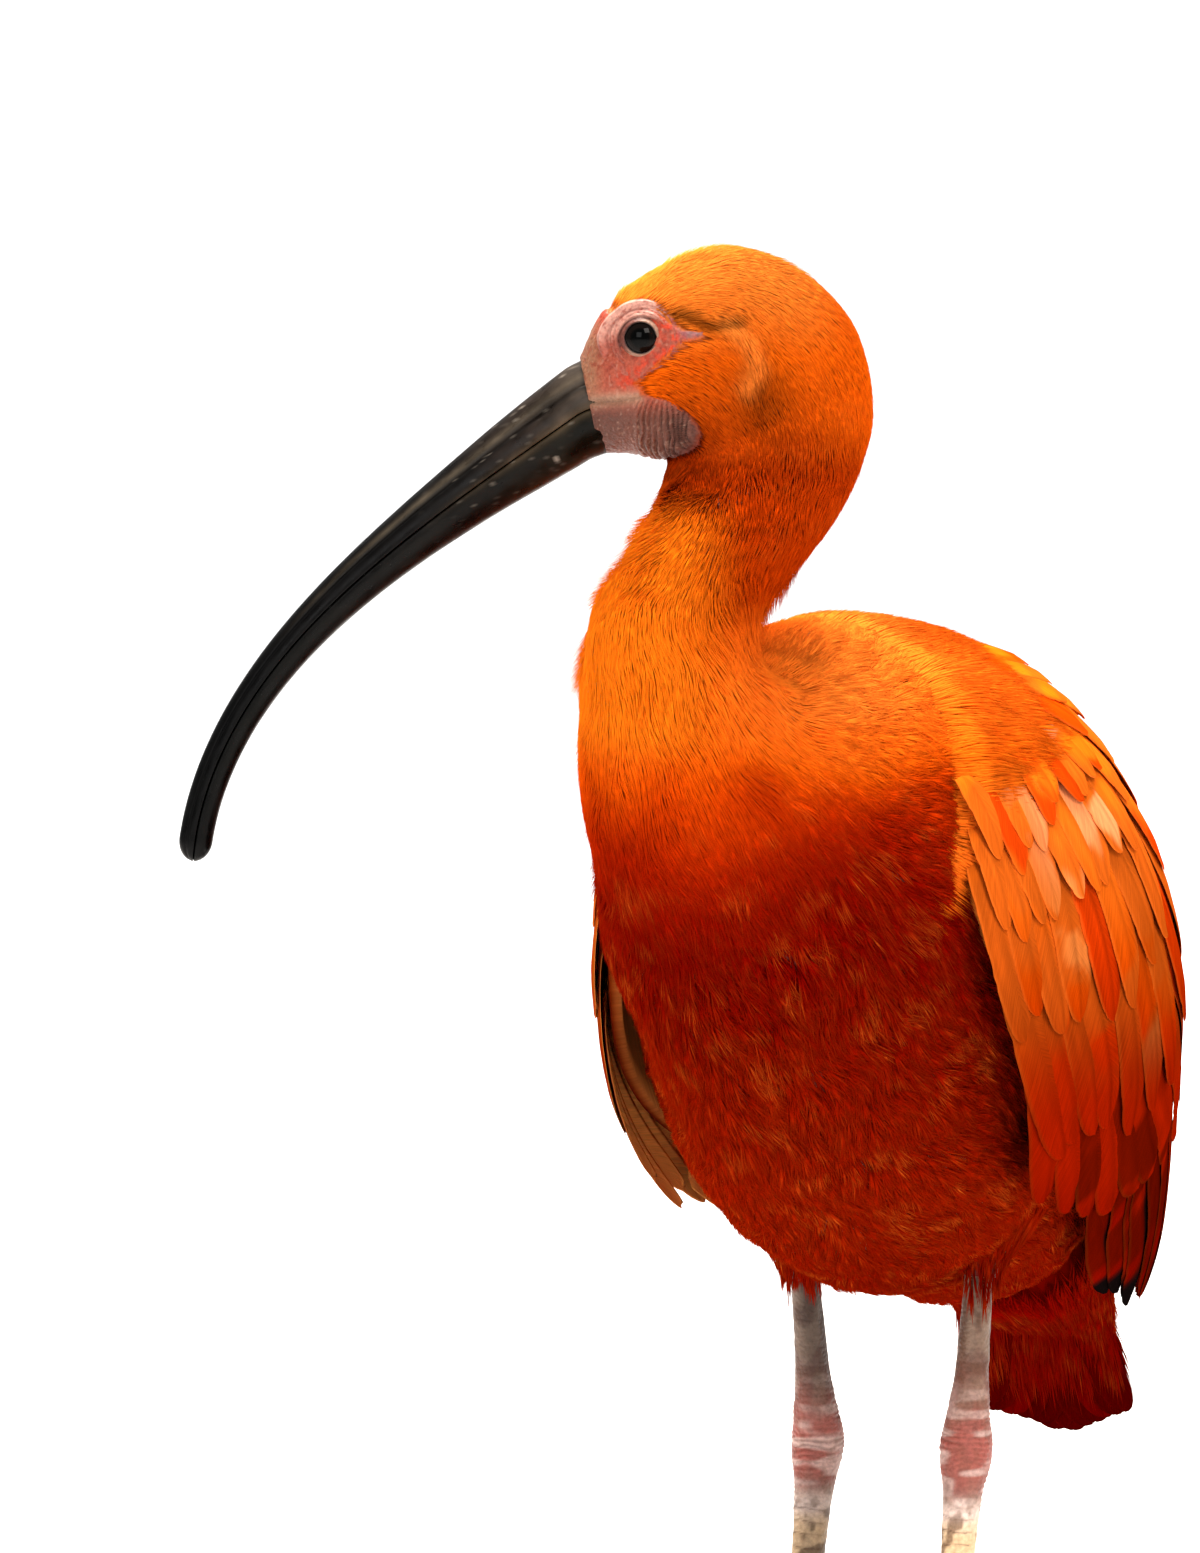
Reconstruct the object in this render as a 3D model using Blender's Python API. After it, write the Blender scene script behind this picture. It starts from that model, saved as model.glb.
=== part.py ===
"""A scarlet ibis standing on both feet, life size, its head turned to its right.

The bird faces -Y, its left side is +X and the floor is z = 0. Sizes are in metres.
Flesh is one loft of cross-sections from rump to bill, cut into nodes at named sections.
The wings lie on a second, wider loft, and carry their feathers as vanes in tiers.
"""

import math
from dataclasses import dataclass

import bmesh
import bpy
import numpy as np
from mathutils import Vector

GAP = 0.0003
BOX_SHIFT = np.array([0.03317, -0.00393, 0.0])  # brings the middle of the whole box over the origin
RIGHT, LEFT = -1, 1
UP = np.array([0.0, 0.0, 1.0])


@dataclass(frozen=True)
class Section:
    """A cross-section: its centre, the way from centre to back, its half width and its turn to the right."""

    x: float
    y: float
    z: float
    back: float
    rise: float
    side: float
    turn: float = 0.0


BODY_SECTIONS = {
    "rump_end": Section(0.0, 0.089, 0.145, 0.007, 0.027, 0.022),
    "rump": Section(0.0, 0.078, 0.1575, 0.006, 0.0395, 0.030),
    "loin": Section(0.0, 0.0525, 0.1762, 0.0075, 0.0558, 0.041),
    "hip": Section(0.0, 0.019, 0.1958, 0.009, 0.0692, 0.050),
    "belly": Section(0.0, -0.019, 0.2085, 0.011, 0.0755, 0.053),
    "shoulder": Section(0.0, -0.057, 0.220, 0.016, 0.069, 0.044),
    "breast": Section(-0.002, -0.087, 0.234, 0.019, 0.052, 0.0380, 3),
    "neck_root": Section(-0.0046, -0.104, 0.2475, 0.0205, 0.0325, 0.0293, 9),
    "crop": Section(-0.0108, -0.112, 0.261, 0.021, 0.016, 0.0243, 17),
    "neck_bulge": Section(-0.0155, -0.1094, 0.2786, 0.0190, 0.0055, 0.0200, 27),
    "neck_low": Section(-0.0151, -0.1055, 0.2894, 0.0195, 0.0007, 0.0185, 35),
    "neck_middle": Section(-0.0101, -0.0963, 0.3009, 0.019, -0.002, 0.0175, 44),
    "neck_high": Section(-0.0061, -0.0863, 0.3107, 0.0205, -0.0011, 0.0175, 52),
    "nape_low": Section(-0.0052, -0.0774, 0.319, 0.0221, 0.0013, 0.0175, 60),
    "nape": Section(-0.0053, -0.0711, 0.3267, 0.0227, 0.0044, 0.0175, 65),
    "nape_high": Section(-0.0088, -0.0671, 0.333, 0.0237, 0.0102, 0.0173, 69),
    "crown_back": Section(-0.0135, -0.0666, 0.3392, 0.0228, 0.0158, 0.017, 70),
    "crown": Section(-0.0198, -0.0679, 0.344, 0.0191, 0.0204, 0.0165, 70),
    "crown_front": Section(-0.0271, -0.0705, 0.3466, 0.0136, 0.023, 0.0156, 70),
    "brow": Section(-0.0342, -0.0731, 0.3455, 0.0078, 0.0219, 0.0142, 70),
    "forehead": Section(-0.040, -0.0752, 0.3423, 0.0028, 0.0187, 0.012, 70),
    "lores": Section(-0.0434, -0.0765, 0.339, -0.0002, 0.0154, 0.0102, 70),
    "bill_root": Section(-0.0457, -0.0773, 0.3342, -0.0022, 0.0106, 0.0086, 70),
}

WING_SECTIONS = {
    "wing_front": Section(0.0, -0.0835, 0.232, 0.0205, 0.055, 0.0405),
    "wrist": Section(0.0, -0.0545, 0.219, 0.0185, 0.0725, 0.0515),
    "forearm": Section(0.0, -0.015, 0.2075, 0.0125, 0.0785, 0.0625),
    "elbow": Section(0.0, 0.0255, 0.193, 0.0100, 0.0725, 0.0620),
    "tertials": Section(0.0, 0.062, 0.172, 0.0095, 0.058, 0.0515),
    "over_rump": Section(0.0, 0.092, 0.1495, 0.008, 0.043, 0.0425),
    "over_tail": Section(0.0, 0.116, 0.127, 0.006, 0.029, 0.0325),
    "wing_tip": Section(0.0, 0.134, 0.108, 0.004, 0.018, 0.0215),
}


def smooth(keys, values, at):
    """Values carried smoothly through the keys: cubic Hermite with central slopes."""
    slopes = np.gradient(values, keys, axis=0)
    index = np.clip(np.searchsorted(keys, at, side="right") - 1, 0, len(keys) - 2)
    span = (keys[index + 1] - keys[index])[..., None]
    s = (at - keys[index])[..., None] / span
    return (
        (2 * s**3 - 3 * s**2 + 1) * values[index]
        + (s**3 - 2 * s**2 + s) * span * slopes[index]
        + (3 * s**2 - 2 * s**3) * values[index + 1]
        + (s**3 - s**2) * span * slopes[index + 1]
    )


class Loft:
    """A tube through cross-sections: a place on it is metres along and degrees from the back to the left."""

    def __init__(self, sections, fullness=1.0, keel=1.0):
        self.names = list(sections)
        rows = [(s.x, s.y, s.z, s.back, s.rise, s.side, s.turn) for s in sections.values()]
        self.values = np.array(rows)
        steps = np.linalg.norm(np.diff(self.values[:, :5], axis=0), axis=1)
        self.keys = np.concatenate([[0.0], np.cumsum(steps)])
        self.fullness, self.keel = fullness, keel

    def at(self, name):
        """How far along the named section is."""
        return self.keys[self.names.index(name)]

    def frame(self, t):
        """Centre, way to the back and way to the left of the section at t."""
        t = np.asarray(t, float)
        value = smooth(self.keys, self.values, t)
        turn = np.radians(value[..., 6])
        backward = np.stack([np.sin(turn), np.cos(turn), np.zeros_like(turn)], -1)
        leftward = np.stack([np.cos(turn), -np.sin(turn), np.zeros_like(turn)], -1)
        to_back = value[..., 3:4] * backward + value[..., 4:5] * UP
        return value[..., :3], to_back, value[..., 5:6] * leftward

    def point(self, t, a):
        """The surface point at t metres along and a degrees round."""
        centre, to_back, to_left = self.frame(t)
        c = np.cos(np.radians(a))[..., None]
        s = np.sin(np.radians(a))[..., None]
        c = np.sign(c) * np.abs(c) ** self.fullness
        keel = np.where(c < 0, self.keel, 1.0) * self.fullness
        s = np.sign(s) * np.abs(s) ** keel
        return centre + c * to_back + s * to_left

    def normal(self, t, a):
        """The outward unit normal, from small steps both ways."""
        dt, da = 0.0005, 0.5
        along = self.point(t + dt, a) - self.point(t - dt, a)
        around = self.point(t, a + da) - self.point(t, a - da)
        n = np.cross(around, along)
        n /= np.linalg.norm(n, axis=-1, keepdims=True)
        outward = self.point(t, a) - self.frame(t)[0]
        return np.where((n * outward).sum(-1, keepdims=True) < 0, -n, n)

    def ring(self, t, sides, shift=0.0):
        """One closed ring of points, moved by shift along the section's own axis."""
        a = np.linspace(0, 360, sides, endpoint=False)
        centre, to_back, to_left = self.frame(t)
        axis = np.cross(to_left, to_back)
        axis /= np.linalg.norm(axis)
        return self.point(np.full(sides, t), a) + shift * axis


BODY = Loft(BODY_SECTIONS, fullness=0.96, keel=1.15)
WING = Loft(WING_SECTIONS, fullness=0.96)


def material(name, hex_colour, roughness, metallic=0.0):
    """A plain finish of one colour."""
    found = bpy.data.materials.get(name)
    if found:
        return found
    made = bpy.data.materials.new(name)
    made.use_nodes = True
    shader = made.node_tree.nodes["Principled BSDF"]
    srgb = [int(hex_colour[i : i + 2], 16) / 255 for i in (0, 2, 4)]
    linear = [c / 12.92 if c < 0.04045 else ((c + 0.055) / 1.055) ** 2.4 for c in srgb]
    shader.inputs["Base Color"].default_value = (*linear, 1)
    shader.inputs["Roughness"].default_value = roughness
    shader.inputs["Metallic"].default_value = metallic
    return made


def scarlet():
    return material("scarlet_plumage", "D8480F", 0.75)


def bare_skin():
    return material("bare_skin", "B9796A", 0.55)


def horn():
    return material("bill_horn", "2E2A25", 0.35)


def make(name, verts, faces, finish):
    """A mesh object of these points and faces, its faces turned outward."""
    mesh = bpy.data.meshes.new(name)
    mesh.from_pydata([tuple(v) for v in np.asarray(verts) + BOX_SHIFT], [], [tuple(f) for f in faces])
    edit = bmesh.new()
    edit.from_mesh(mesh)
    bmesh.ops.recalc_face_normals(edit, faces=edit.faces)
    edit.to_mesh(mesh)
    edit.free()
    mesh.materials.append(finish)
    mesh.shade_smooth()
    obj = bpy.data.objects.new(name, mesh)
    bpy.context.scene.collection.objects.link(obj)
    return obj


def tube(name, rings, finish):
    """A closed tube through rings of equally many points, each end filled from its middle."""
    rings = np.asarray(rings)
    count, sides = rings.shape[:2]
    verts = rings.reshape(-1, 3)
    faces = []
    for i in range(count - 1):
        for j in range(sides):
            k = (j + 1) % sides
            faces.append((i * sides + j, i * sides + k, (i + 1) * sides + k, (i + 1) * sides + j))
    ends = [rings[0].mean(0), rings[-1].mean(0)]
    verts = np.concatenate([verts, ends])
    for j in range(sides):
        k = (j + 1) % sides
        faces.append((k, j, count * sides))
        last = (count - 1) * sides
        faces.append((last + j, last + k, count * sides + 1))
    return make(name, verts, faces, finish)


def plate(name, outer, inner, finish):
    """A closed plate between two like grids of points, split alike on both faces."""
    rows, columns = outer.shape[:2]
    verts = np.concatenate([outer.reshape(-1, 3), inner.reshape(-1, 3)])
    half = rows * columns
    faces = []
    for i in range(rows - 1):
        for j in range(columns - 1):
            a, b = i * columns + j, i * columns + j + 1
            c, d = (i + 1) * columns + j + 1, (i + 1) * columns + j
            faces += [(a, b, c), (a, c, d)]
            faces += [(half + a, half + c, half + b), (half + a, half + d, half + c)]
    rim = [(0, j) for j in range(columns)] + [(i, columns - 1) for i in range(1, rows)]
    rim += [(rows - 1, j) for j in range(columns - 2, -1, -1)] + [(i, 0) for i in range(rows - 2, 0, -1)]
    loop = [i * columns + j for i, j in rim]
    for a, b in zip(loop, loop[1:] + loop[:1]):
        faces.append((a, b, half + b, half + a))
    return make(name, verts, faces, finish)


def largest_part(obj):
    """Keeps only the largest closed surface of a mesh, which drops sealed hollows and loose scraps."""
    edit = bmesh.new()
    edit.from_mesh(obj.data)
    bmesh.ops.triangulate(edit, faces=edit.faces)
    left, shells = set(edit.faces), []
    while left:
        seed = left.pop()
        shell, queue = [seed], [seed]
        while queue:
            for edge in queue.pop().edges:
                for face in edge.link_faces:
                    if face in left:
                        left.remove(face)
                        shell.append(face)
                        queue.append(face)
        shells.append(shell)

    def volume(shell):
        corners = [[v.co for v in face.verts] for face in shell]
        return sum(a.dot(b.cross(c)) for a, b, c in corners)

    keep = max(shells, key=volume)
    drop = [face for shell in shells if shell is not keep for face in shell]
    bmesh.ops.delete(edit, geom=drop, context="FACES")
    edit.to_mesh(obj.data)
    edit.free()


def boolean(obj, operation, tools, solver="MANIFOLD"):
    """One Boolean with a collection of closed meshes, applied, and the collection's objects removed."""
    group = bpy.data.collections.new("tools")
    bpy.context.scene.collection.children.link(group)
    for tool in tools:
        for owner in list(tool.users_collection):
            owner.objects.unlink(tool)
        group.objects.link(tool)
    modifier = obj.modifiers.new("join", "BOOLEAN")
    modifier.operation = operation
    modifier.solver = solver
    modifier.operand_type = "COLLECTION"
    modifier.collection = group
    graph = bpy.context.evaluated_depsgraph_get()
    mesh = bpy.data.meshes.new_from_object(obj.evaluated_get(graph))
    obj.modifiers.clear()
    obj.data = mesh
    for tool in tools:
        bpy.data.objects.remove(tool)
    bpy.data.collections.remove(group)
    largest_part(obj)
    return obj


def swollen(obj, by, name="swollen"):
    """A copy of a closed mesh with each point moved out along its normal."""
    mesh = obj.data.copy()
    normals = [v.normal.copy() for v in mesh.vertices]
    for vertex, normal in zip(mesh.vertices, normals):
        vertex.co += normal * by
    copy = bpy.data.objects.new(name, mesh)
    bpy.context.scene.collection.objects.link(copy)
    return copy


def body_piece(name, first, last, rows, sides, finish):
    """The stretch of the body loft between two sections, its ends half a gap short of them."""
    ts = np.linspace(BODY.at(first), BODY.at(last), rows)
    rings = [BODY.ring(t, sides) for t in ts]
    rings[0] = BODY.ring(ts[0], sides, shift=GAP / 2)
    rings[-1] = BODY.ring(ts[-1], sides, shift=-GAP / 2)
    return tube(name, rings, finish)


def unit(v):
    """The same way with length one."""
    return v / np.linalg.norm(v, axis=-1, keepdims=True)


def path_tube(name, path, radii, sides, finish, across=(1.0, 0.0, 0.0), floor=None, flatten=1.0):
    """A tube along a path of points with a radius at each; flatten narrows it off the across way."""
    path = np.asarray(path, float)
    way = unit(np.gradient(path, axis=0))
    a = np.linspace(0, 2 * np.pi, sides, endpoint=False) + np.pi / sides
    rings = []
    for point, direction, radius in zip(path, way, radii):
        u = unit(np.asarray(across) - np.dot(across, direction) * direction)
        v = np.cross(direction, u)
        ring = point + radius * (np.cos(a)[:, None] * u + flatten * np.sin(a)[:, None] * v)
        if floor is not None:
            ring[:, 2] = np.maximum(ring[:, 2], floor)
        rings.append(ring)
    return tube(name, rings, finish)


def ball(name, centre, radii, columns, rows, finish, axis=(0.0, 0.0, 1.0)):
    """An ellipsoid of revolution: radii are across its axis and along it."""
    axis = unit(np.asarray(axis, float))
    u = unit(np.cross(axis, (0.31, 0.17, 0.93)))
    v = np.cross(axis, u)
    a = np.linspace(0, 2 * np.pi, columns, endpoint=False)[:, None]
    rings = []
    for b in np.linspace(0, np.pi, rows + 1)[1:-1]:
        around = np.sin(b) * radii[0] * (np.cos(a) * u + np.sin(a) * v)
        rings.append(np.asarray(centre) + around + np.cos(b) * radii[1] * axis)
    obj = tube(name, rings, finish)
    mesh = obj.data
    for vertex, sign in zip(list(mesh.vertices)[-2:], (1, -1)):
        vertex.co = Vector(np.asarray(centre) + sign * radii[1] * axis + BOX_SHIFT)
    return obj


def torus(name, centre, axis, upward, radii, section, columns, sides, finish):
    """A ring about an axis, with a half width along upward and one across it."""
    axis, upward = unit(np.asarray(axis)), unit(np.asarray(upward))
    across = np.cross(axis, upward)
    verts, faces = [], []
    for i in range(columns):
        a = 2 * np.pi * i / columns
        way = np.cos(a) * across * radii[0] + np.sin(a) * upward * radii[1]
        out = unit(np.cos(a) * across * radii[1] + np.sin(a) * upward * radii[0])
        for j in range(sides):
            b = 2 * np.pi * j / sides
            verts.append(centre + way + section * (np.cos(b) * out + np.sin(b) * axis))
    for i in range(columns):
        k = (i + 1) % columns
        for j in range(sides):
            m = (j + 1) % sides
            faces.append((i * sides + j, i * sides + m, k * sides + m, k * sides + j))
    return make(name, verts, faces, finish)


# Wings and tail

WING_PLACES = np.array([0.0, 0.10, 0.18, 0.30, 0.42, 0.58, 0.78, 1.0, 1.2])
WING_TOP = np.array([32.0, 23.0, 18.0, 13.0, 10.0, 7.5, 7.0, 9.0, 10.0])
WING_LOW = np.array([84.0, 103.0, 113.0, 123.0, 129.0, 125.0, 119.0, 121.0, 122.0])
WING_CORE_LIFT = -0.0018
WING_CORE_END = (0.80, 0.58)  # at the back edge and at the low edge


class WingSurface:
    """Where the left wing lies. A place is (p, q): front to tip, and back edge to low edge, both 0 to 1."""

    def point(self, p, q):
        p, q = np.asarray(p, float), np.asarray(q, float)
        top = smooth(WING_PLACES, WING_TOP[:, None], p)[..., 0]
        low = smooth(WING_PLACES, WING_LOW[:, None], p)[..., 0]
        return WING.point(p * WING.keys[-1], top + (low - top) * q)


class TailSurface:
    """The fan of the tail. A place is (p, q): metres down the tail and metres to the left."""

    root = np.array([0.0, 0.0985, 0.1335])
    way = unit(np.array([0.0, 0.589, -0.808]))
    lift = unit(np.array([0.0, 0.808, 0.589]))
    droop = 7.0

    def point(self, p, q):
        p, q = np.asarray(p, float)[..., None], np.asarray(q, float)[..., None]
        side = np.array([1.0, 0.0, 0.0])
        return self.root + p * self.way + q * side - self.droop * q**2 * self.lift


WINGS = WingSurface()
TAIL = TailSurface()


def partials(surface, p, q):
    """The two slopes of the surface at (p, q) and its unit normal."""
    e = 0.002
    dp = (surface.point(p + e, q) - surface.point(p - e, q)) / (2 * e)
    dq = (surface.point(p, q + e) - surface.point(p, q - e)) / (2 * e)
    return dp, dq, unit(np.cross(dq, dp))


@dataclass(frozen=True)
class Vane:
    """One feather: root and tip places, half width, lift at root and tip, how far its low edge stands up."""

    root: tuple
    tip: tuple
    half: float
    lift: tuple
    tilt: float = 0.0004
    bow: float = 0.0
    thick: float = 0.0009


VANE_STEPS = np.array([0.0, 0.35, 0.78, 1.0])
VANE_WIDTHS = np.array([0.62, 1.0, 0.92, 0.26])


def vane_mesh(surface, vane, finish, mirror=1.0, steps=VANE_STEPS, widths=VANE_WIDTHS):
    """The feather as a closed plate that lies on the surface, its middle line from root to tip."""
    (p0, q0), (p1, q1) = vane.root, vane.tip
    p = p0 + (p1 - p0) * steps
    q = q0 + (q1 - q0) * steps + vane.bow * np.sin(np.pi * steps)
    middle = surface.point(p, q)
    dp, dq, normal = partials(surface, p, q)
    along = unit(np.gradient(middle, axis=0))
    across = unit(np.cross(normal, along))
    lift = vane.lift[0] + (vane.lift[1] - vane.lift[0]) * np.sqrt(steps)
    outer, inner = [], []
    for side in (-1.0, 0.0, 1.0):
        reach = side * vane.half * widths
        shift = np.array([np.linalg.lstsq(np.stack([a, b], 1), c, rcond=None)[0]
                          for a, b, c in zip(dp, dq, across * reach[:, None])])
        sp, sq = p + shift[:, 0], q + shift[:, 1]
        edge = surface.point(sp, sq)
        up = partials(surface, sp, sq)[2]
        rise = lift - vane.tilt * side * np.sign((dq * across).sum(-1)) * -1.0
        thick = vane.thick * (1.0 if side == 0 else 0.6)
        outer.append(edge + up * (rise + thick / 2)[:, None])
        inner.append(edge + up * (rise - thick / 2)[:, None])
    outer, inner = np.stack(outer, 1), np.stack(inner, 1)
    outer[..., 0] *= mirror
    inner[..., 0] *= mirror
    return plate("vane", outer, inner, finish)


def spread(count):
    """Even steps from 0 to 1."""
    return [(i / (count - 1)) for i in range(count)]


COVERT_STEPS = np.array([0.0, 0.66, 1.0])
COVERT_WIDTHS = np.array([0.70, 1.0, 0.42])


def wing_vanes():
    """Every feather of one wing in tiers, from the primaries underneath to the scapulars on top."""
    vanes = []
    for f in spread(6):  # primaries, the lowest first
        vanes.append(Vane((0.50 + 0.16 * f, 0.90 - 0.50 * f), (1.00 - 0.08 * f, 0.93 - 0.63 * f),
                          0.0072, (-0.0034, -0.0066 + 0.0048 * f)))
    for f in spread(8):  # secondaries, from the low edge up
        vanes.append(Vane((0.30 + 0.16 * f, 0.80 - 0.62 * f), (0.63 + 0.24 * f, 1.02 - 0.78 * f),
                          0.0086 - 0.001 * f, (-0.0034, -0.0003 + 0.0003 * f)))
    for f in spread(3):  # tertials
        vanes.append(Vane((0.46 + 0.02 * f, 0.22 - 0.07 * f), (0.86 + 0.05 * f, 0.24 - 0.14 * f),
                          0.0085, (-0.0032, 0.0004 + 0.0002 * f)))
    for f in spread(7):  # greater coverts
        vanes.append(Vane((0.20 + 0.16 * f, 0.80 - 0.62 * f), (0.40 + 0.24 * f, 0.99 - 0.76 * f),
                          0.0092, (-0.0034, 0.0008 + 0.0003 * f)))
    for f in spread(6):  # median coverts
        vanes.append(Vane((0.12 + 0.17 * f, 0.74 - 0.56 * f), (0.27 + 0.22 * f, 0.90 - 0.68 * f),
                          0.0098, (-0.0032, 0.0015 + 0.0002 * f)))
    for f in spread(3):  # scapulars, along the back edge
        vanes.append(Vane((0.14 + 0.12 * f, 0.17), (0.36 + 0.15 * f, 0.10),
                          0.0095, (-0.0030, 0.0014)))
    return vanes


def wing_core(name, mirror, finish):
    """The solid of the folded wing under its feathers, thick at the front and thin behind."""
    rows, columns = 11, 7
    p, q = np.meshgrid(np.linspace(0, 1, rows), np.linspace(0, 1, columns), indexing="ij")
    p = p * (WING_CORE_END[0] + (WING_CORE_END[1] - WING_CORE_END[0]) * q)
    places = WINGS.point(p, q)
    normal = partials(WINGS, p, q)[2]
    thick = np.interp(p, [0, 0.45, 0.62, 0.80], [0.0124, 0.012, 0.0056, 0.0020])
    outer = places + normal * WING_CORE_LIFT
    inner = places + normal * (WING_CORE_LIFT - thick[..., None])
    outer[..., 0] *= mirror
    inner[..., 0] *= mirror
    return plate(name, outer, inner, finish)


def wing(side, torso):
    """One folded wing: its core and feathers joined, then cut clear of the torso."""
    name = "wing_left" if side == LEFT else "wing_right"
    core = wing_core(name, side, scarlet())
    feathers = []
    for vane in wing_vanes():
        long = vane.tip[0] - vane.root[0] > 0.26
        shape = (VANE_STEPS, VANE_WIDTHS) if long else (COVERT_STEPS, COVERT_WIDTHS)
        feathers.append(vane_mesh(WINGS, vane, scarlet(), side, *shape))
    boolean(core, "UNION", feathers)
    return boolean(core, "DIFFERENCE", [swollen(torso, GAP)])


TAIL_SECTIONS = {
    "tail_root": BODY_SECTIONS["rump_end"],
    "tail_coverts": Section(0.0, 0.0965, 0.131, 0.0085, 0.0165, 0.0230),
    "tail_base": Section(0.0, 0.1055, 0.1185, 0.0070, 0.0085, 0.0220),
    "tail_middle": Section(0.0, 0.1145, 0.1070, 0.0030, 0.0024, 0.0195),
}


def tail():
    """The tail: a short core from the rump, twelve feathers fanned from it and coverts under them."""
    loft = Loft(TAIL_SECTIONS)
    ts = np.linspace(0, loft.keys[-1], 8)
    rings = [loft.ring(t, 18) for t in ts]
    step = np.linalg.norm(rings[1] - rings[0], axis=1).mean()
    rings[0] = rings[0] + (rings[1].mean(0) - rings[0].mean(0)) * GAP / step
    core = tube("tail", rings, scarlet())
    feathers = []
    for k in range(12):
        f = (k - 5.5) / 5.5
        lift = (0.0004 - 0.0012 * abs(f), 0.0012 - 0.0030 * abs(f))
        tip = (0.0700 - 0.0130 * f * f, 0.0205 * f)
        feathers.append(Vane((0.014, 0.0085 * f), tip, 0.0050, lift, tilt=-0.0004 * np.sign(f)))
    vanes = [vane_mesh(TAIL, vane, scarlet()) for vane in feathers]
    for k in range(5):
        f = (k - 2) / 2
        under = Vane((-0.008, 0.008 * f), (0.030 + 0.010 * (1 - abs(f)), 0.0125 * f), 0.0070,
                     (-0.0075, -0.0055 - 0.001 * abs(f)), tilt=0.0)
        vanes.append(vane_mesh(TAIL, under, scarlet()))
    return boolean(core, "UNION", vanes)


# Bill

BILL_LENGTH = 0.1395
BILL_START_ANGLE, BILL_BEND, BILL_BEND_POWER = 35.0, 50.8, 2.6
HEAD_TURN = math.radians(70)
HEAD_FORWARD = np.array([-math.sin(HEAD_TURN), -math.cos(HEAD_TURN), 0.0])
HEAD_LEFT = np.array([math.cos(HEAD_TURN), -math.sin(HEAD_TURN), 0.0])
MOUTH_GAP = 0.00036


def bill_frame(u):
    """Middle point, way forward and way up of the bill at the fraction u of its length."""
    fine = np.linspace(0, 1, 201)
    angle = np.radians(BILL_START_ANGLE + BILL_BEND * fine**BILL_BEND_POWER)
    way = np.cos(angle)[:, None] * HEAD_FORWARD - np.sin(angle)[:, None] * UP
    run = np.concatenate([[np.zeros(3)], np.cumsum((way[1:] + way[:-1]) / 2, axis=0)]) * BILL_LENGTH / 200
    root = BODY.frame(BODY.at("bill_root"))[0]
    point = root + np.stack([np.interp(u, fine, run[:, i]) for i in range(3)], -1)
    angle = np.radians(BILL_START_ANGLE + BILL_BEND * u**BILL_BEND_POWER)
    free = np.clip(u / 0.16, 0, 1)
    stand = np.radians(90 - 11.7) * (1 - free) + (np.pi / 2 - angle) * free
    up = np.cos(stand)[:, None] * HEAD_FORWARD + np.sin(stand)[:, None] * UP
    way = np.sin(stand)[:, None] * HEAD_FORWARD - np.cos(stand)[:, None] * UP
    return point, way, up


def bill_sizes(u):
    """Half depth and half width at the fraction u, with a blunt round tip."""
    end = np.sqrt(np.clip(1 - ((u - 0.965) / 0.035).clip(0) ** 2, 0.05, 1))
    depth = (0.0075 + 0.0142 * (1 - u) ** 2.3) / 2 * end
    width = (0.0031 + 0.0053 * (1 - u) ** 1.6) * end
    return depth, width


UPPER_PROFILE = [
    (-1.0, 0.0), (-0.99, 0.20), (-0.90, 0.42), (-0.76, 0.52), (-0.70, 0.68), (-0.48, 0.88), (-0.2, 0.98),
]
LOWER_PROFILE = [(-0.98, 0.0), (-0.97, -0.26), (-0.84, -0.56), (-0.58, -0.82), (-0.30, -0.96)]


def mandible(name, profile, gap):
    """Half of the bill, from its flat side at the mouth line out to the profile."""
    u = np.concatenate([[GAP / BILL_LENGTH], np.linspace(0.03, 0.94, 17), [0.965, 0.985, 1.0]])
    point, way, up = bill_frame(u)
    depth, width = bill_sizes(u)
    top = 1.0 if profile is UPPER_PROFILE else -1.0
    half = profile + [(0.0, top)]
    outline = half + [(-x, y) for x, y in reversed(profile)]
    rings = []
    for i in range(len(u)):
        tall = depth[i] - abs(gap)
        rings.append([point[i] + HEAD_LEFT * x * width[i] + up[i] * (y * tall + gap) for x, y in outline])
    return tube(name, rings, horn())


def bill():
    """Both halves of the bill, with the slits of the nostrils cut into the upper."""
    upper = mandible("bill_upper", UPPER_PROFILE, MOUTH_GAP / 2)
    lower = mandible("bill_lower", LOWER_PROFILE, -MOUTH_GAP / 2)
    cuts = []
    for side in (-1, 1):
        u = np.linspace(0.045, 0.115, 6)
        point, way, up = bill_frame(u)
        depth, width = bill_sizes(u)
        path = point + side * HEAD_LEFT * (width * 0.84)[:, None] + up * (0.53 * depth)[:, None]
        cuts.append(path_tube("slit", path, [0.0002, 0.0006, 0.0008, 0.0008, 0.0006, 0.0002], 6, horn()))
    boolean(upper, "DIFFERENCE", cuts)
    return upper, lower


# Head

EYE_MIDDLE = np.array([-0.0349, -0.0734, 0.3495])
EYE_OUT = 0.0110
EYE_RADIUS = 0.0046


def eye_centre(side):
    """Where the eyeball of one side sits."""
    return EYE_MIDDLE + side * HEAD_LEFT * EYE_OUT


def head_place(forward, angle):
    """How far along the loft its surface at this angle lies this far forward, the way the bill points."""
    t = np.linspace(BODY.at("nape_high"), BODY.at("bill_root"), 60)
    reach = BODY.point(t, np.full(60, angle)) @ HEAD_FORWARD
    return np.interp(forward, np.maximum.accumulate(reach), t)


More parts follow.
